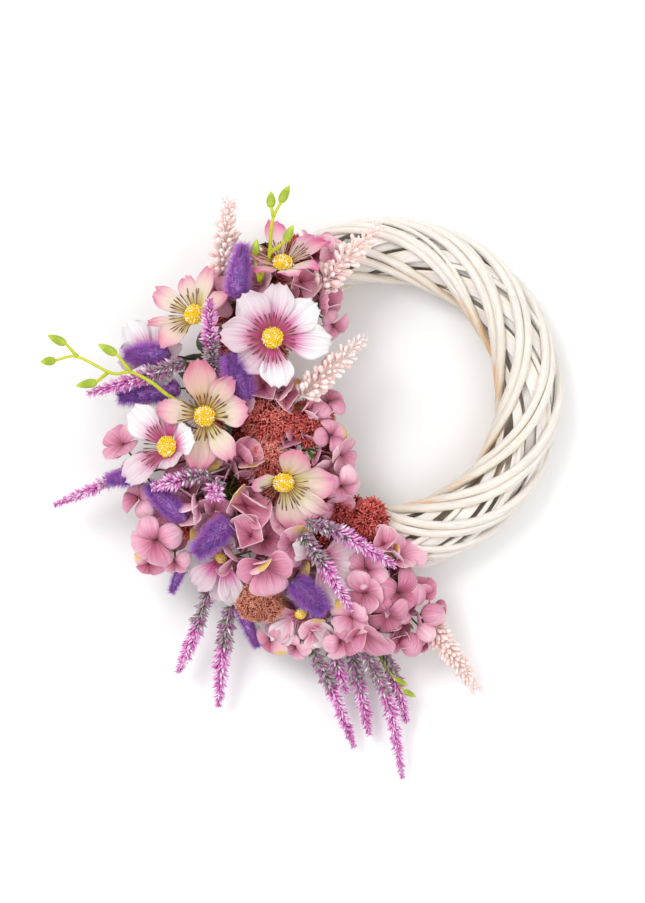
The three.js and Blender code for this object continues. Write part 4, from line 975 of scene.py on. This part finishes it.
# Each head: its core, then its florets as (x, y, z, reach, kind, degrees of the first petal), and the
# number of the petal that is marked with yellow where one is
HYDRANGEAS = {
    "left": ((-178, -100, 46), (
        (-219, -43, 60, 17, "open", 150), (-204, -88, 64, 16, "shell", 120),
        (-191, -121, 74, 19.5, "shell", 196), (-197, -140, 56, 12, "shell", 230, 3),
        (-176, -138, 60, 13, "shell", -60), (-150, -112, 62, 17, "open", 40), (-184, -99, 66, 15, "cup", 80),
        (-178, -62, 54, 15, "open", 10), (-164, -52, 56, 13, "cup", 0), (-165, -80, 66, 17, "cup", 60),
        (-206, -62, 58, 14, "shell", 170))),
    "middle": ((-132, -82, 62), (
        (-160, -93, 76, 19, "cup", 180), (-143, -97, 72, 16, "open", 20), (-117, -93, 84, 21, "cup", -30, 2),
        (-118, -54, 78, 17, "cup", 120), (-135, -112, 72, 17, "cup", 200), (-150, -60, 66, 15, "open", 80))),
    "low": ((-98, -128, 62), (
        (-100, -142, 88, 22, "lip", -76, 3), (-112, -118, 84, 18, "cup", 110), (-78, -126, 76, 18, "open", 0),
        (-128, -136, 68, 17, "cup", 215), (-86, -108, 74, 15, "open", 70), (-112, -154, 62, 14, "shell", 250),
        (-72, -146, 58, 15, "cup", 0), (-88, -160, 54, 14, "open", 20), (-101, -121, 74, 15, "open", 45))),
    "inner": ((-66, -46, 58), (
        (-49, -9, 66, 15, "shell", 40), (-47, -36, 72, 14, "shell", 10, 0), (-38, -52, 66, 15, "open", -20),
        (-38, -76, 70, 16, "shell", -10), (-42, -92, 64, 13, "open", -60), (-54, -66, 64, 14, "open", 200),
        (-56, -20, 64, 13, "cup", 90))),
    "top": ((-86, 86, 62), (
        (-71, 92, 76, 15, "cup", -20), (-54, 76, 70, 16, "cup", 10), (-103, 92, 74, 14, "open", 200),
        (-138, 84, 66, 17, "shell", 100), (-46, 106, 64, 15, "open", 40), (-62, 114, 60, 14, "open", 100),
        (-84, 78, 72, 13, "cup", 240), (-46, 58, 62, 14, "shell", -60), (-62, 124, 56, 14, "open", 30),
        (-50, 120, 56, 13, "cup", 0), (-50, 92, 60, 14, "open", 300))),
    "centre": ((-106, 0, 64), (
        (-102, 5, 80, 18, "cup", -100), (-121, -8, 74, 15, "open", 180), (-66, -14, 76, 11, "cup", 50),
        (-128, 12, 66, 14, "open", 120), (-84, -2, 76, 15, "cup", 60))),
    "right": ((-6, -158, 48), (
        (10, -136, 58, 17, "lip", 10), (-16, -147, 68, 17, "shell", -40), (-17, -166, 72, 17, "open", 200),
        (9, -166, 62, 18, "shell", -20), (0, -182, 60, 18, "shell", -60), (-17, -199, 66, 21, "lip", -62),
        (-2, -126, 66, 14, "cup", 70), (-28, -186, 70, 17, "open", 120, 0), (-34, -154, 60, 15, "open", 250),
        (-14, -182, 56, 16, "open", 30), (-36, -206, 54, 15, "shell", 240))),
    "bottom": ((-66, -188, 42), (
        (-40, -206, 56, 15, "shell", -90), (-94, -205, 46, 14, "shell", 230, 1),
        (-74, -211, 44, 13, "shell", -100), (-60, -198, 54, 14, "open", 0),
        (-84, -194, 50, 13, "open", 180))),
    "buds": ((19, -186, 38), (
        (22, -174, 46, 12.5, "globe", 60), (34, -186, 44, 12.5, "globe", 20),
        (21, -203, 40, 12.5, "globe", -90), (30, -197, 43, 10.5, "globe", -30), (9, -190, 48, 11, "cup", 180),
        (16, -188, 47, 7.5, "globe", 100))),
}

# Each petal of a kind: degrees from the first, length, width, how far it bends up, how far it domes
FLORET_KINDS = {
    "open": ((0, 1.25, 1.35, 0.3, 0.1), (92, 1.15, 1.3, 0.5, 0.0), (180, 1.1, 1.25, 0.35, 0.1),
             (270, 1.2, 1.3, 0.25, 0.15)),
    "cup": ((0, 1.2, 1.5, 0.75, -0.1), (90, 1.1, 1.3, 1.1, -0.1), (178, 1.15, 1.4, 0.9, -0.1),
            (268, 1.05, 1.3, 1.2, -0.05)),
    "shell": ((0, 1.25, 1.2, 0.12, 0.62), (88, 1.2, 1.15, 0.05, 0.55), (184, 1.2, 1.2, 0.2, 0.6),
              (272, 1.1, 1.1, 0.1, 0.5)),
    "lip": ((0, 1.45, 1.55, 0.1, 0.2), (86, 1.2, 1.25, 0.35, 0.1), (170, 0.9, 0.8, 1.3, 0.0),
            (208, 0.9, 1.0, 1.1, 0.0), (278, 1.2, 1.15, 0.4, 0.1)),
    "globe": tuple((degrees, 1.7, 1.4, 0, 0) for degrees in (0, 90, 180, 270)),
}
# How much higher every other petal lies
FLORET_STEPS = {"open": 1.4, "cup": 0.6, "shell": 2.6, "lip": 1.2, "globe": 0.0}
# Rows and columns of a floret's petals, in front and in the shade behind
FLORET_GRID, INNER_GRID = (12, 10), (9, 7)


def floret_petal(reach, width, bend, doming, draw, grid):
    """One rounded petal: its half width a sine, then a quarter ellipse.

    It bends up as an arc, domes as a half wave both ways, and rolls to one side.
    """
    v, u = np.meshgrid(np.linspace(0, 0.985, grid[0]), np.linspace(-1, 1, grid[1]), indexing="ij")
    narrow = 0.2 + 0.8 * np.sin(np.pi / 2 * np.minimum(v / 0.6, 1))
    swell = np.where(v < 0.6, narrow, np.sqrt(np.maximum(1 - ((v - 0.6) / 0.4) ** 2, 0.02)))
    x = u * width / 2 * swell
    arc = bend * (0.5 + 0.5 * v)
    y = 0.8 + reach * v * (1 - 0.05 * u**2) * np.cos(arc)
    rise = reach * v * np.sin(arc)
    dome = doming * width * (0.55 * np.sin(np.pi * v) - 0.5 * (u * swell) ** 2 * v - 0.35 * v**4)
    curl = draw.uniform(-0.05, 0.2) * reach * v**6
    wave = 0.035 * reach * np.sin(2.8 * u + draw.uniform(0, 6.3)) * v**2
    roll = draw.uniform(-0.2, 0.2) * x
    return np.stack([x, y, rise + dome - curl + wave + roll], -1), np.stack([u, v, np.zeros_like(u)], -1)


def globe_petal(length, width):
    """A quarter and more of a closed bud's skin: across it an arc, up it half an ellipse."""
    v, u = np.meshgrid(np.linspace(0.03, 0.985, 13), np.linspace(-1, 1, 9), indexing="ij")
    turn = 1.1 * u
    belly = width / 2 * np.sin(np.pi * v**0.85)
    places = np.stack([belly * np.sin(turn), belly * np.cos(turn), length * (1 - np.cos(np.pi * v)) / 2], -1)
    return places, np.stack([u, v * 0.8 + 0.2, np.zeros_like(u)], -1)


def add_floret(body, at, direction, reach, kind, degrees, tint, draw, yellow=(), grid=FLORET_GRID):
    """The petals of one kind round a small knob, every other one lying a little higher.

    Yellow lists the numbers of the petals that are marked so, and a few others are at random.
    """
    turned, at = facing(direction), np.asarray(at, float)
    for index, (around, long, wide, bend, doming) in enumerate(FLORET_KINDS[kind]):
        if kind == "globe":
            sheet, pattern = globe_petal(reach * long, reach * wide * (1 + 0.09 * (index % 2)))
        else:
            long, wide = reach * long * draw.uniform(0.92, 1.08), reach * wide * draw.uniform(0.9, 1.08)
            sheet, pattern = floret_petal(long, wide, bend * draw.uniform(0.6, 1.4), doming, draw, grid)
        own = petal_frame(turned, math.radians(degrees + around + draw.uniform(-8, 8)))
        lifted = sheet + np.array([0, 0, FLORET_STEPS[kind] * (index % 2 + draw.uniform(0, 0.4))])
        marked = index in yellow or (kind != "globe" and draw.random() < 0.05)
        petal_tint = 0.96 if marked else np.clip(tint + draw.normal(0, 0.2), 0, 0.85)
        body.sheet(lifted @ own.T + at, 0.4, pattern + np.array([0, 0, draw.random() * 9]), petal_tint)
    knob = TINY_BALL if grid == INNER_GRID else SMALL_BALL
    body.scatter(knob, [at + turned[:, 2] * 0.8], turned[None], 1.7, 0.2)


def make_hydrangeas():
    """Each head's florets face out from its core, carried by thin stems from the core and one to the moss."""
    stems = Body()
    for number, (label, (core, florets)) in enumerate(HYDRANGEAS.items()):
        draw = np.random.default_rng(300 + number)
        body = Body()
        heart = np.asarray(core, float)
        for x, y, z, reach, kind, degrees, *yellow in florets:
            at = np.array([x, y, z], float)
            direction = unit(at - heart) + np.array([0, 0, 0.7]) + 0.12 * draw.normal(size=3)
            add_floret(body, at, direction, reach, kind, degrees, draw.uniform(0.1, 0.85), draw, yellow)
            bent = smooth_path([heart, (heart + at) / 2 - (0, 0, 3), at], 7)
            stems.tube(bent, 0.9, 6, (0.3, 0.2, 1.0), 0.3)
        rooted_stem(stems, heart, 1.8, 0.2, steps=5, reference=(1.0, 0.3, 0.0))
        # Smaller florets behind, in the deep colour: painted shade inside the head.
        for index in range(10 if len(florets) > 5 else 7):
            turn = index * GOLDEN_ANGLE + number
            side = np.array([math.cos(turn), math.sin(turn), draw.uniform(-0.2, 0.5)])
            at = heart + unit(side) * draw.uniform(6, 22) + (0, 0, draw.uniform(-6, 4))
            reach, degrees = draw.uniform(11, 15), draw.uniform(0, 360)
            add_floret(body, at, unit(side) + (0, 0, 0.9), reach, "cup", degrees, 0.1, draw, grid=INNER_GRID)
        body.finish(f"hydrangea_{label}_florets", FLORET, "hydrangea", f"hydrangea_{label}")
    stems.finish("hydrangea_stems", GREEN, "bud")


# Leaves


def add_leaf(body, root, radial, face, length, width, rise, tint):
    """A leaf outward from its root: its half width a sine, its height a rise, a droop and a fold."""
    v, u = np.meshgrid(np.linspace(0.02, 0.98, 7), np.linspace(-1, 1, 5), indexing="ij")
    x = u * width / 2 * np.sin(np.pi * v**0.8)
    z = rise + length * (0.3 * v - 0.35 * v**3) + 0.25 * np.abs(x)
    own = np.stack([np.cross(radial, face), radial, face], axis=-1)
    body.sheet(np.stack([x, length * v, z], -1) @ own.T + root, 0.4, np.stack([u, v, 0 * u], -1), tint)


def make_leaves():
    """Dark leaves on the moss, at random ways round, and six longer ones that show between the flowers:
    partly leaves of the arrangement and partly dark filler, painted shade for the gaps.
    """
    draw = np.random.default_rng(900)
    body = Body()
    number = 120
    for index in range(number):
        turn = BED_START + 15 + (BED_END - BED_START - 21) * (index + 0.5) / number
        outer = index % 3 > 0
        around = draw.uniform(-8, 40) if outer else draw.uniform(20, 135)
        root = on_tube(turn, around, BED_INNER + 2)
        out = unit(root - on_tube(turn, around, 0.0))
        turned = facing(unit(out + 0.6 * draw.normal(size=3) + (0, 0, 0.1 if outer else 0.5)))
        _, radial, face = petal_frame(turned, draw.uniform(0, 2 * np.pi)).T
        length, width = draw.uniform(15, 25), draw.uniform(8, 13)
        add_leaf(body, root, radial, face, length, width, 3, draw.uniform(0, 1))
    for turn in (170, 174, 178, 206, 210, 214):
        root = on_tube(turn, 42.0, BED_INNER + 1)
        radial = unit(on_tube(turn, 0.0, 20.0) - on_tube(turn, 0.0, 0.0) + draw.normal(size=3) * (5, 5, 2))
        face = unit(np.cross(np.cross(radial, (0.0, 0.0, 1.0)), radial))
        length, width = draw.uniform(26, 40), draw.uniform(11, 17)
        add_leaf(body, root, radial, face, length, width, 0, draw.uniform(0.3, 0.9))
    body.finish("dark_leaves", LEAF, "moss")


# Bunny tails

# Each head: its base, its tip and its radius with its hair
TAILS = {
    "bunny_tail_top": [((-125, 77, 84), (-118, 121, 100), 10)],
    "bunny_tail_middle": [((-116, -6, 88), (-129, 28, 104), 11.5)],
    "bunny_tails_left": [((-180, 32, 74), (-216, 32, 78), 9.5), ((-171, 4, 72), (-222, -4, 66), 9.5)],
    "bunny_tail_lower_left": [((-167, -105, 80), (-197, -77, 87), 9)],
    "bunny_tail_far_left": [((-202, -68, 81), (-231, -72, 76), 7.5)],
    "bunny_tails_low": [
        ((-129, -105, 84), (-157, -133, 90), 10.5), ((-166, -136, 50), (-180, -167, 44), 5)],
    "bunny_tail_bottom": [((-77, -155, 76), (-52, -180, 80), 11)],
    "bunny_tail_low_middle": [((-122, -178, 44), (-108, -213, 38), 6)],
}
# Hairs for each millimetre of a head's radius
HAIRS_PER_MM = 315


def hair_blade():
    """A hair one unit long: a three-sided spike, drawn to a point."""
    angle = np.arange(3) / 3 * 2 * np.pi
    foot = np.stack([0.02 * np.cos(angle), 0.02 * np.sin(angle), np.zeros(3)], -1)
    places = np.vstack([foot, [[0.0, 0.0, 1.0]]])
    triangles = np.array([(0, 1, 3), (1, 2, 3), (2, 0, 3), (2, 1, 0)])
    pattern = np.array([(0, 0.15, 0)] * 3 + [(0, 1.0, 0)])
    return places, np.zeros((0, 4), int), triangles, pattern


def plump(f):
    """A spindle's share of its radius along its length: a power of a sine."""
    return np.maximum(np.sin(np.pi * (0.12 + 0.88 * f**0.75)), 0) ** 0.7


def add_tail(body, base, tip, radius, painted_light, seed):
    """A seed head: a plump spindle under hairs that lean tipward."""
    draw = np.random.default_rng(seed)
    base, tip = np.asarray(base, float), np.asarray(tip, float)
    count, reference = int(HAIRS_PER_MM * radius), (0.2, 0.3, 1.0)
    f = np.linspace(0, 1, 16)
    path = base + (tip - base) * f[:, None]
    axis = unit(tip - base)
    body.tube(path, np.maximum(radius * 0.62 * plump(f), 0.3), 14, reference, 0.3)
    along = draw.random(count) * 0.985
    turn = draw.uniform(0, 2 * np.pi, count)
    side = unit(np.cross(reference, axis))
    top = np.cross(axis, side)
    out = np.cos(turn)[:, None] * side + np.sin(turn)[:, None] * top
    roots = base + (tip - base) * along[:, None] + out * (radius * 0.56 * plump(along))[:, None]
    spread = draw.uniform(0.8, 1.6, count)[:, None]
    lean = unit(out * spread + axis * 0.75 + 0.3 * draw.normal(size=(count, 3)))
    length = radius * draw.uniform(0.5, 1.15, count)
    sizes = np.stack([np.full(count, 9.0), np.full(count, 9.0), length], -1)
    frames = turned_frames(lean, draw, 0.0)
    body.scatter(hair_blade(), roots, frames, sizes, painted_light + draw.uniform(-0.3, 0.3, count))


def make_tails():
    """The dyed seed heads, each with its own stalk down to the moss."""
    stalks = Body()
    for number, (node, heads) in enumerate(TAILS.items()):
        body = Body()
        # Painted light and shade: the top head is left lit and the others are darkened as if in shade; each
        # hair also varies at random.
        painted_light = 1.0 if node == "bunny_tail_top" else 0.35
        for index, (base, tip, radius) in enumerate(heads):
            add_tail(body, base, tip, radius, painted_light, 400 + 10 * number + index)
            rooted_stem(stalks, base, 0.8, 0.04, sag=(0, 0, 4), reference=(0.3, 0.9, 0.2))
        body.finish(f"{node}_hair", HAIR, "bunny_tail", node)
    stalks.finish("tail_stalks", GREEN, "bud")


# Lavender and pale spikes

# Each sprig: its path and the width of its grains
LAVENDER = {
    "lavender_upper": [(((-142, 17, 88), (-145, 47, 108), (-145, 76, 114)), 18)],
    "lavender_left": [(((-166, 26, 86), (-205, 12, 86), (-247, -1, 78)), 17)],
    "lavender_far_left": [(((-205, -59, 58), (-239, -77, 54), (-278, -94, 44)), 14)],
    "lavender_middle": [
        (((-146, -67, 90), (-170, -72, 98), (-193, -78, 96)), 18),
        (((-142, -74, 84), (-140, -86, 106)), 20),
    ],
    "lavender_low_left": [(((-144, -151, 50), (-161, -203, 38), (-175, -235, 28)), 15)],
    "lavender_low_middle": [(((-130, -177, 44), (-137, -218, 32), (-141, -265, 20)), 17)],
    "lavender_bottom": [
        (((-65, -207, 46), (-43, -254, 30), (-26, -300, 14)), 15),
        (((-47, -207, 40), (-40, -231, 34), (-32, -253, 26)), 15),
        (((-30, -211, 36), (-21, -250, 24), (-13, -289, 14)), 15),
        (((-20, -211, 46), (3, -261, 30), (15, -326, 12)), 15),
        (((-5, -209, 36), (9, -243, 26), (19, -278, 16)), 15),
    ],
    "lavender_right": [
        (((-66, -106, 88), (-32, -119, 97), (7, -143, 88)), 17),
        (((-70, -116, 86), (-49, -146, 90), (-29, -180, 82)), 17),
    ],
}
# Each: its path, the length of its bells and how many stand on a millimetre of stem
PALE_SPIKES = {
    "pale_spike_top": (((-137, 94, 66), (-133, 129, 76), (-131, 160, 76)), 18.0, 1.9),
    "pale_spike_upper_right": (((-58, 84, 74), (-30, 115, 82), (-4, 140, 78)), 17.0, 1.3),
    "pale_spike_inner": (((-71, -4, 84), (-45, 20, 92), (-19, 46, 88)), 16.5, 1.4),
    "pale_spike_lower_right": (((38, -194, 38), (59, -223, 31), (78, -251, 22)), 14.0, 2.4),
}


def grain_shape():
    """A grain one unit long: a four-sided spindle, broadest two thirds of the way out."""
    grain = Body()
    path = np.stack([np.zeros(3), np.zeros(3), np.array([0, 0.62, 1.0])], -1)
    grain.tube(path, [0.07, 0.21, 0.03], 4, (1.0, 0.0, 0.0))
    return grain.shape()


def bell_shape():
    """A closed bell one unit long: a narrow neck that swells to a rounded end."""
    bell = Body()
    path = np.stack([np.zeros(6), np.zeros(6), np.array([0, 0.36, 0.5, 0.68, 0.88, 1.0])], -1)
    bell.tube(path, [0.045, 0.05, 0.11, 0.175, 0.175, 0.05], 6, (1.0, 0.0, 0.0))
    return bell.shape()


GRAIN_SHAPE, BELL_SHAPE = grain_shape(), bell_shape()
# Places along a stem, and grains on a millimetre of it
STEM_STEPS = 24
GRAINS_PER_MM = 6.1


def whorl_frames(path, count, draw, lean):
    """Places up a path at golden angles, with frames that point outward and lean towards the tip."""
    f = (np.arange(count) + draw.uniform(0, 1, count)) / count
    index = f * (len(path) - 1)
    low = np.minimum(index.astype(int), len(path) - 2)
    share = (index - low)[:, None]
    roots = path[low] * (1 - share) + path[low + 1] * share
    tangent, side, top = (v[low] for v in along_frames(path, np.array(OBLIQUE)))
    turn = np.arange(count) * GOLDEN_ANGLE
    out = np.cos(turn)[:, None] * side + np.sin(turn)[:, None] * top
    return f, roots, out, unit(out + tangent * lean)


def add_lavender(body, points, width, seed):
    """Grains up a stem, grey green below and mauve above, thinning to the tip, with pale ends that are partly
    powder and partly painted light.
    """
    draw = np.random.default_rng(seed)
    path, green = smooth_path(points, STEM_STEPS), 0.3
    count = int(np.linalg.norm(np.diff(path, axis=0), axis=1).sum() * GRAINS_PER_MM)
    f, roots, out, lean = whorl_frames(path, count, draw, 0.62)
    plumpness = 0.6 + 0.75 * np.sin(np.pi * np.clip(0.15 + 0.8 * f, 0, 1)) ** 0.8 - 0.3 * f
    size = width * 0.42 * plumpness * draw.uniform(0.6, 1.2, count)
    blend = np.clip((f - green) / 0.22 + draw.normal(0, 0.25, count), 0, 1)
    tint = np.where(blend < 0.5, 0.1 + 0.24 * draw.random(count), 0.46 + 0.42 * draw.random(count) ** 1.4)
    # A few near-white grains: partly powder and partly painted highlight.
    tint = np.where(draw.random(count) < 0.05, 0.88, tint)
    sizes = np.stack([size * 0.6, size * 0.6, size], -1)
    body.scatter(GRAIN_SHAPE, roots + out * 0.4, turned_frames(lean, draw, 0.16), sizes, tint)
    stem_tint = 0.1 + 0.35 * (np.linspace(0, 1, STEM_STEPS) > green)
    body.tube(path, np.linspace(1.2, 0.6, STEM_STEPS), 6, OBLIQUE, stem_tint)
    rooted_stem(body, path[0], 0.9, 0.08, sag=(path[1] - path[0]) * 2)


def add_pale_spike(body, points, bell, density, seed):
    """Bells on short stalks up a stem, close below and small at the tip."""
    draw = np.random.default_rng(seed)
    path = smooth_path(points, STEM_STEPS)
    count = int(np.linalg.norm(np.diff(path, axis=0), axis=1).sum() * density)
    f, roots, out, lean = whorl_frames(path, count, draw, 0.7)
    size = bell * (1 - 0.62 * f**1.2) * draw.uniform(0.6, 1.1, count)
    sizes = np.stack([size * 0.9, size * 0.9, size], -1)
    tint = 0.3 + 0.6 * draw.random(count) ** 1.5
    body.scatter(BELL_SHAPE, roots + out * 0.8, turned_frames(lean, draw, 0.1), sizes, tint)
    body.tube(path, np.linspace(1.5, 0.7, STEM_STEPS), 7, OBLIQUE, 0.3)
    rooted_stem(body, path[0], 1.1, 0.05, sag=(path[1] - path[0]) * 2)


def make_spikes():
    """The lavender and the pale pink spikes."""
    for number, (node, sprigs) in enumerate(LAVENDER.items()):
        body = Body()
        for index, (points, width) in enumerate(sprigs):
            add_lavender(body, points, width, 500 + 10 * number + index)
        body.finish(f"{node}_grains", GRAINS, "lavender", node)
    for number, (node, (points, bell, density)) in enumerate(PALE_SPIKES.items()):
        body = Body()
        add_pale_spike(body, points, bell, density, 600 + number)
        body.finish(f"{node}_bells", BELLS, "pale_spike", node)


# Bud sprays

# Each stem: places along it, the last of them the tip of its bud
BUD_SPRAYS = {
    "bud_spray_top": [
        ((-105, 92, 88), (-97, 112, 98), (-95, 133, 106), (-93, 144, 108), (-87, 156, 108), (-80, 170, 106)),
        ((-93, 144, 108), (-95, 152, 108), (-95, 165, 106)),
        ((-96, 115, 99), (-83, 124, 106), (-77, 137, 108)),
        ((-105, 92, 88), (-109, 111, 96), (-107, 126, 100)),
    ],
    "bud_spray_left": [
        ((-161, -12, 92), (-179, -3, 99), (-193, 8, 99), (-211, 17, 95), (-227, 16, 89), (-256, 30, 80),
         (-275, 27, 76), (-287, 26, 74)),
        ((-256, 30, 80), (-266, 41, 78), (-281, 48, 74)),
        ((-211, 17, 95), (-223, 32, 92), (-238, 40, 88)),
        ((-230, 17, 88), (-240, 9, 84), (-257, 6, 78)),
    ],
    "bud_spray_bottom": [
        ((-11, -207, 36), (-1, -228, 34), (8, -240, 32), (19, -246, 30)),
        ((-2, -226, 34.6), (16, -251, 28), (26, -256, 26)),
    ],
}


def make_bud_sprays():
    """Green stems with a swollen bud at each end, the bud's radius a skewed sine with shallow grooves."""
    for node, stems in BUD_SPRAYS.items():
        body = Body()
        fat, fresh = (0.7, 0.3) if node == "bud_spray_bottom" else (1.0, 0.42)
        for points in stems:
            points = np.asarray(points, float)
            steps = 22
            tint = np.linspace(fresh, fresh + 0.16, steps)
            body.tube(smooth_path(points[:-1], steps), fat * np.linspace(1.8, 1.15, steps), 8, OBLIQUE, tint)
            base, tip = points[-2], points[-1]
            f = np.linspace(0, 1, 15)
            bud = base + (tip - base) * (f * 1.06 - 0.06)[:, None]
            radius = np.maximum(3.5 * fat * np.sin(np.pi * np.clip(f, 0, 0.97) ** 0.72) ** 0.62, 0.35)
            body.tube(bud, radius, 16, OBLIQUE, 0.86 - 0.16 * np.sin(np.pi * f) ** 2 + 0.1 * f, 0.09)
        rooted_stem(body, stems[0][0], 1.3, 0.4, steps=6)
        body.finish(f"{node}_buds", GREEN, "bud", node)


# Stage, light and camera

FLOOR_REACH = 6.0
# Each: name, place in metres, width and power in watts, aimed at the origin
LIGHTS = (("key", (-1.6, 1.5, 3.4), 1.6, 62), ("fill", (2.2, -1.2, 3.2), 2.4, 26))


def make_stage():
    """A pale floor under the ring, a broad soft light above, a fill from the side, and a white room."""
    mesh = bpy.data.meshes.new("floor")
    corners = [(x * FLOOR_REACH, y * FLOOR_REACH, -0.001) for x, y in ((-1, -1), (1, -1), (1, 1), (-1, 1))]
    mesh.from_pydata(corners, [], [(0, 1, 2, 3)])
    floor = bpy.data.objects.new("floor", mesh)
    bpy.context.scene.collection.objects.link(floor)
    plain = bpy.data.materials.new("pale_floor")
    shader = surface_shader(plain)
    shader.inputs["Base Color"].default_value = (0.94, 0.94, 0.94, 1)
    shader.inputs["Roughness"].default_value = 1.0
    shader.inputs["Specular IOR Level"].default_value = 0.0
    mesh.materials.append(plain)
    for name, (x, y, z), size, power in LIGHTS:
        data = bpy.data.lights.new(name, "AREA")
        data.size, data.energy = size, power
        light = bpy.data.objects.new(name, data)
        bpy.context.scene.collection.objects.link(light)
        light.location = (x, y, z)
        light.rotation_euler = (math.atan2(math.hypot(x, y), z), 0, math.atan2(x, -y))
    world = bpy.data.worlds.new("soft_room")
    bpy.context.scene.world = world
    back = surface_shader(world)
    back.inputs["Color"].default_value = (1.0, 1.0, 1.0, 1)
    back.inputs["Strength"].default_value = 0.92
    bpy.context.scene.view_settings.view_transform = "Standard"


def make_camera():
    """Straight above the object, the photograph's upper edge towards +Y."""
    data = bpy.data.cameras.new("camera")
    data.lens, data.sensor_width = 135.0, 36.0
    data.clip_end = 50.0
    camera = bpy.data.objects.new("camera", data)
    camera.location = (0.0167, 0.0284, 2.888)
    bpy.context.scene.collection.objects.link(camera)
    bpy.context.scene.camera = camera


make_camera()
make_ring()
make_moss()
make_cosmos()
make_hydrangeas()
make_leaves()
make_tails()
make_spikes()
make_bud_sprays()
make_stage()
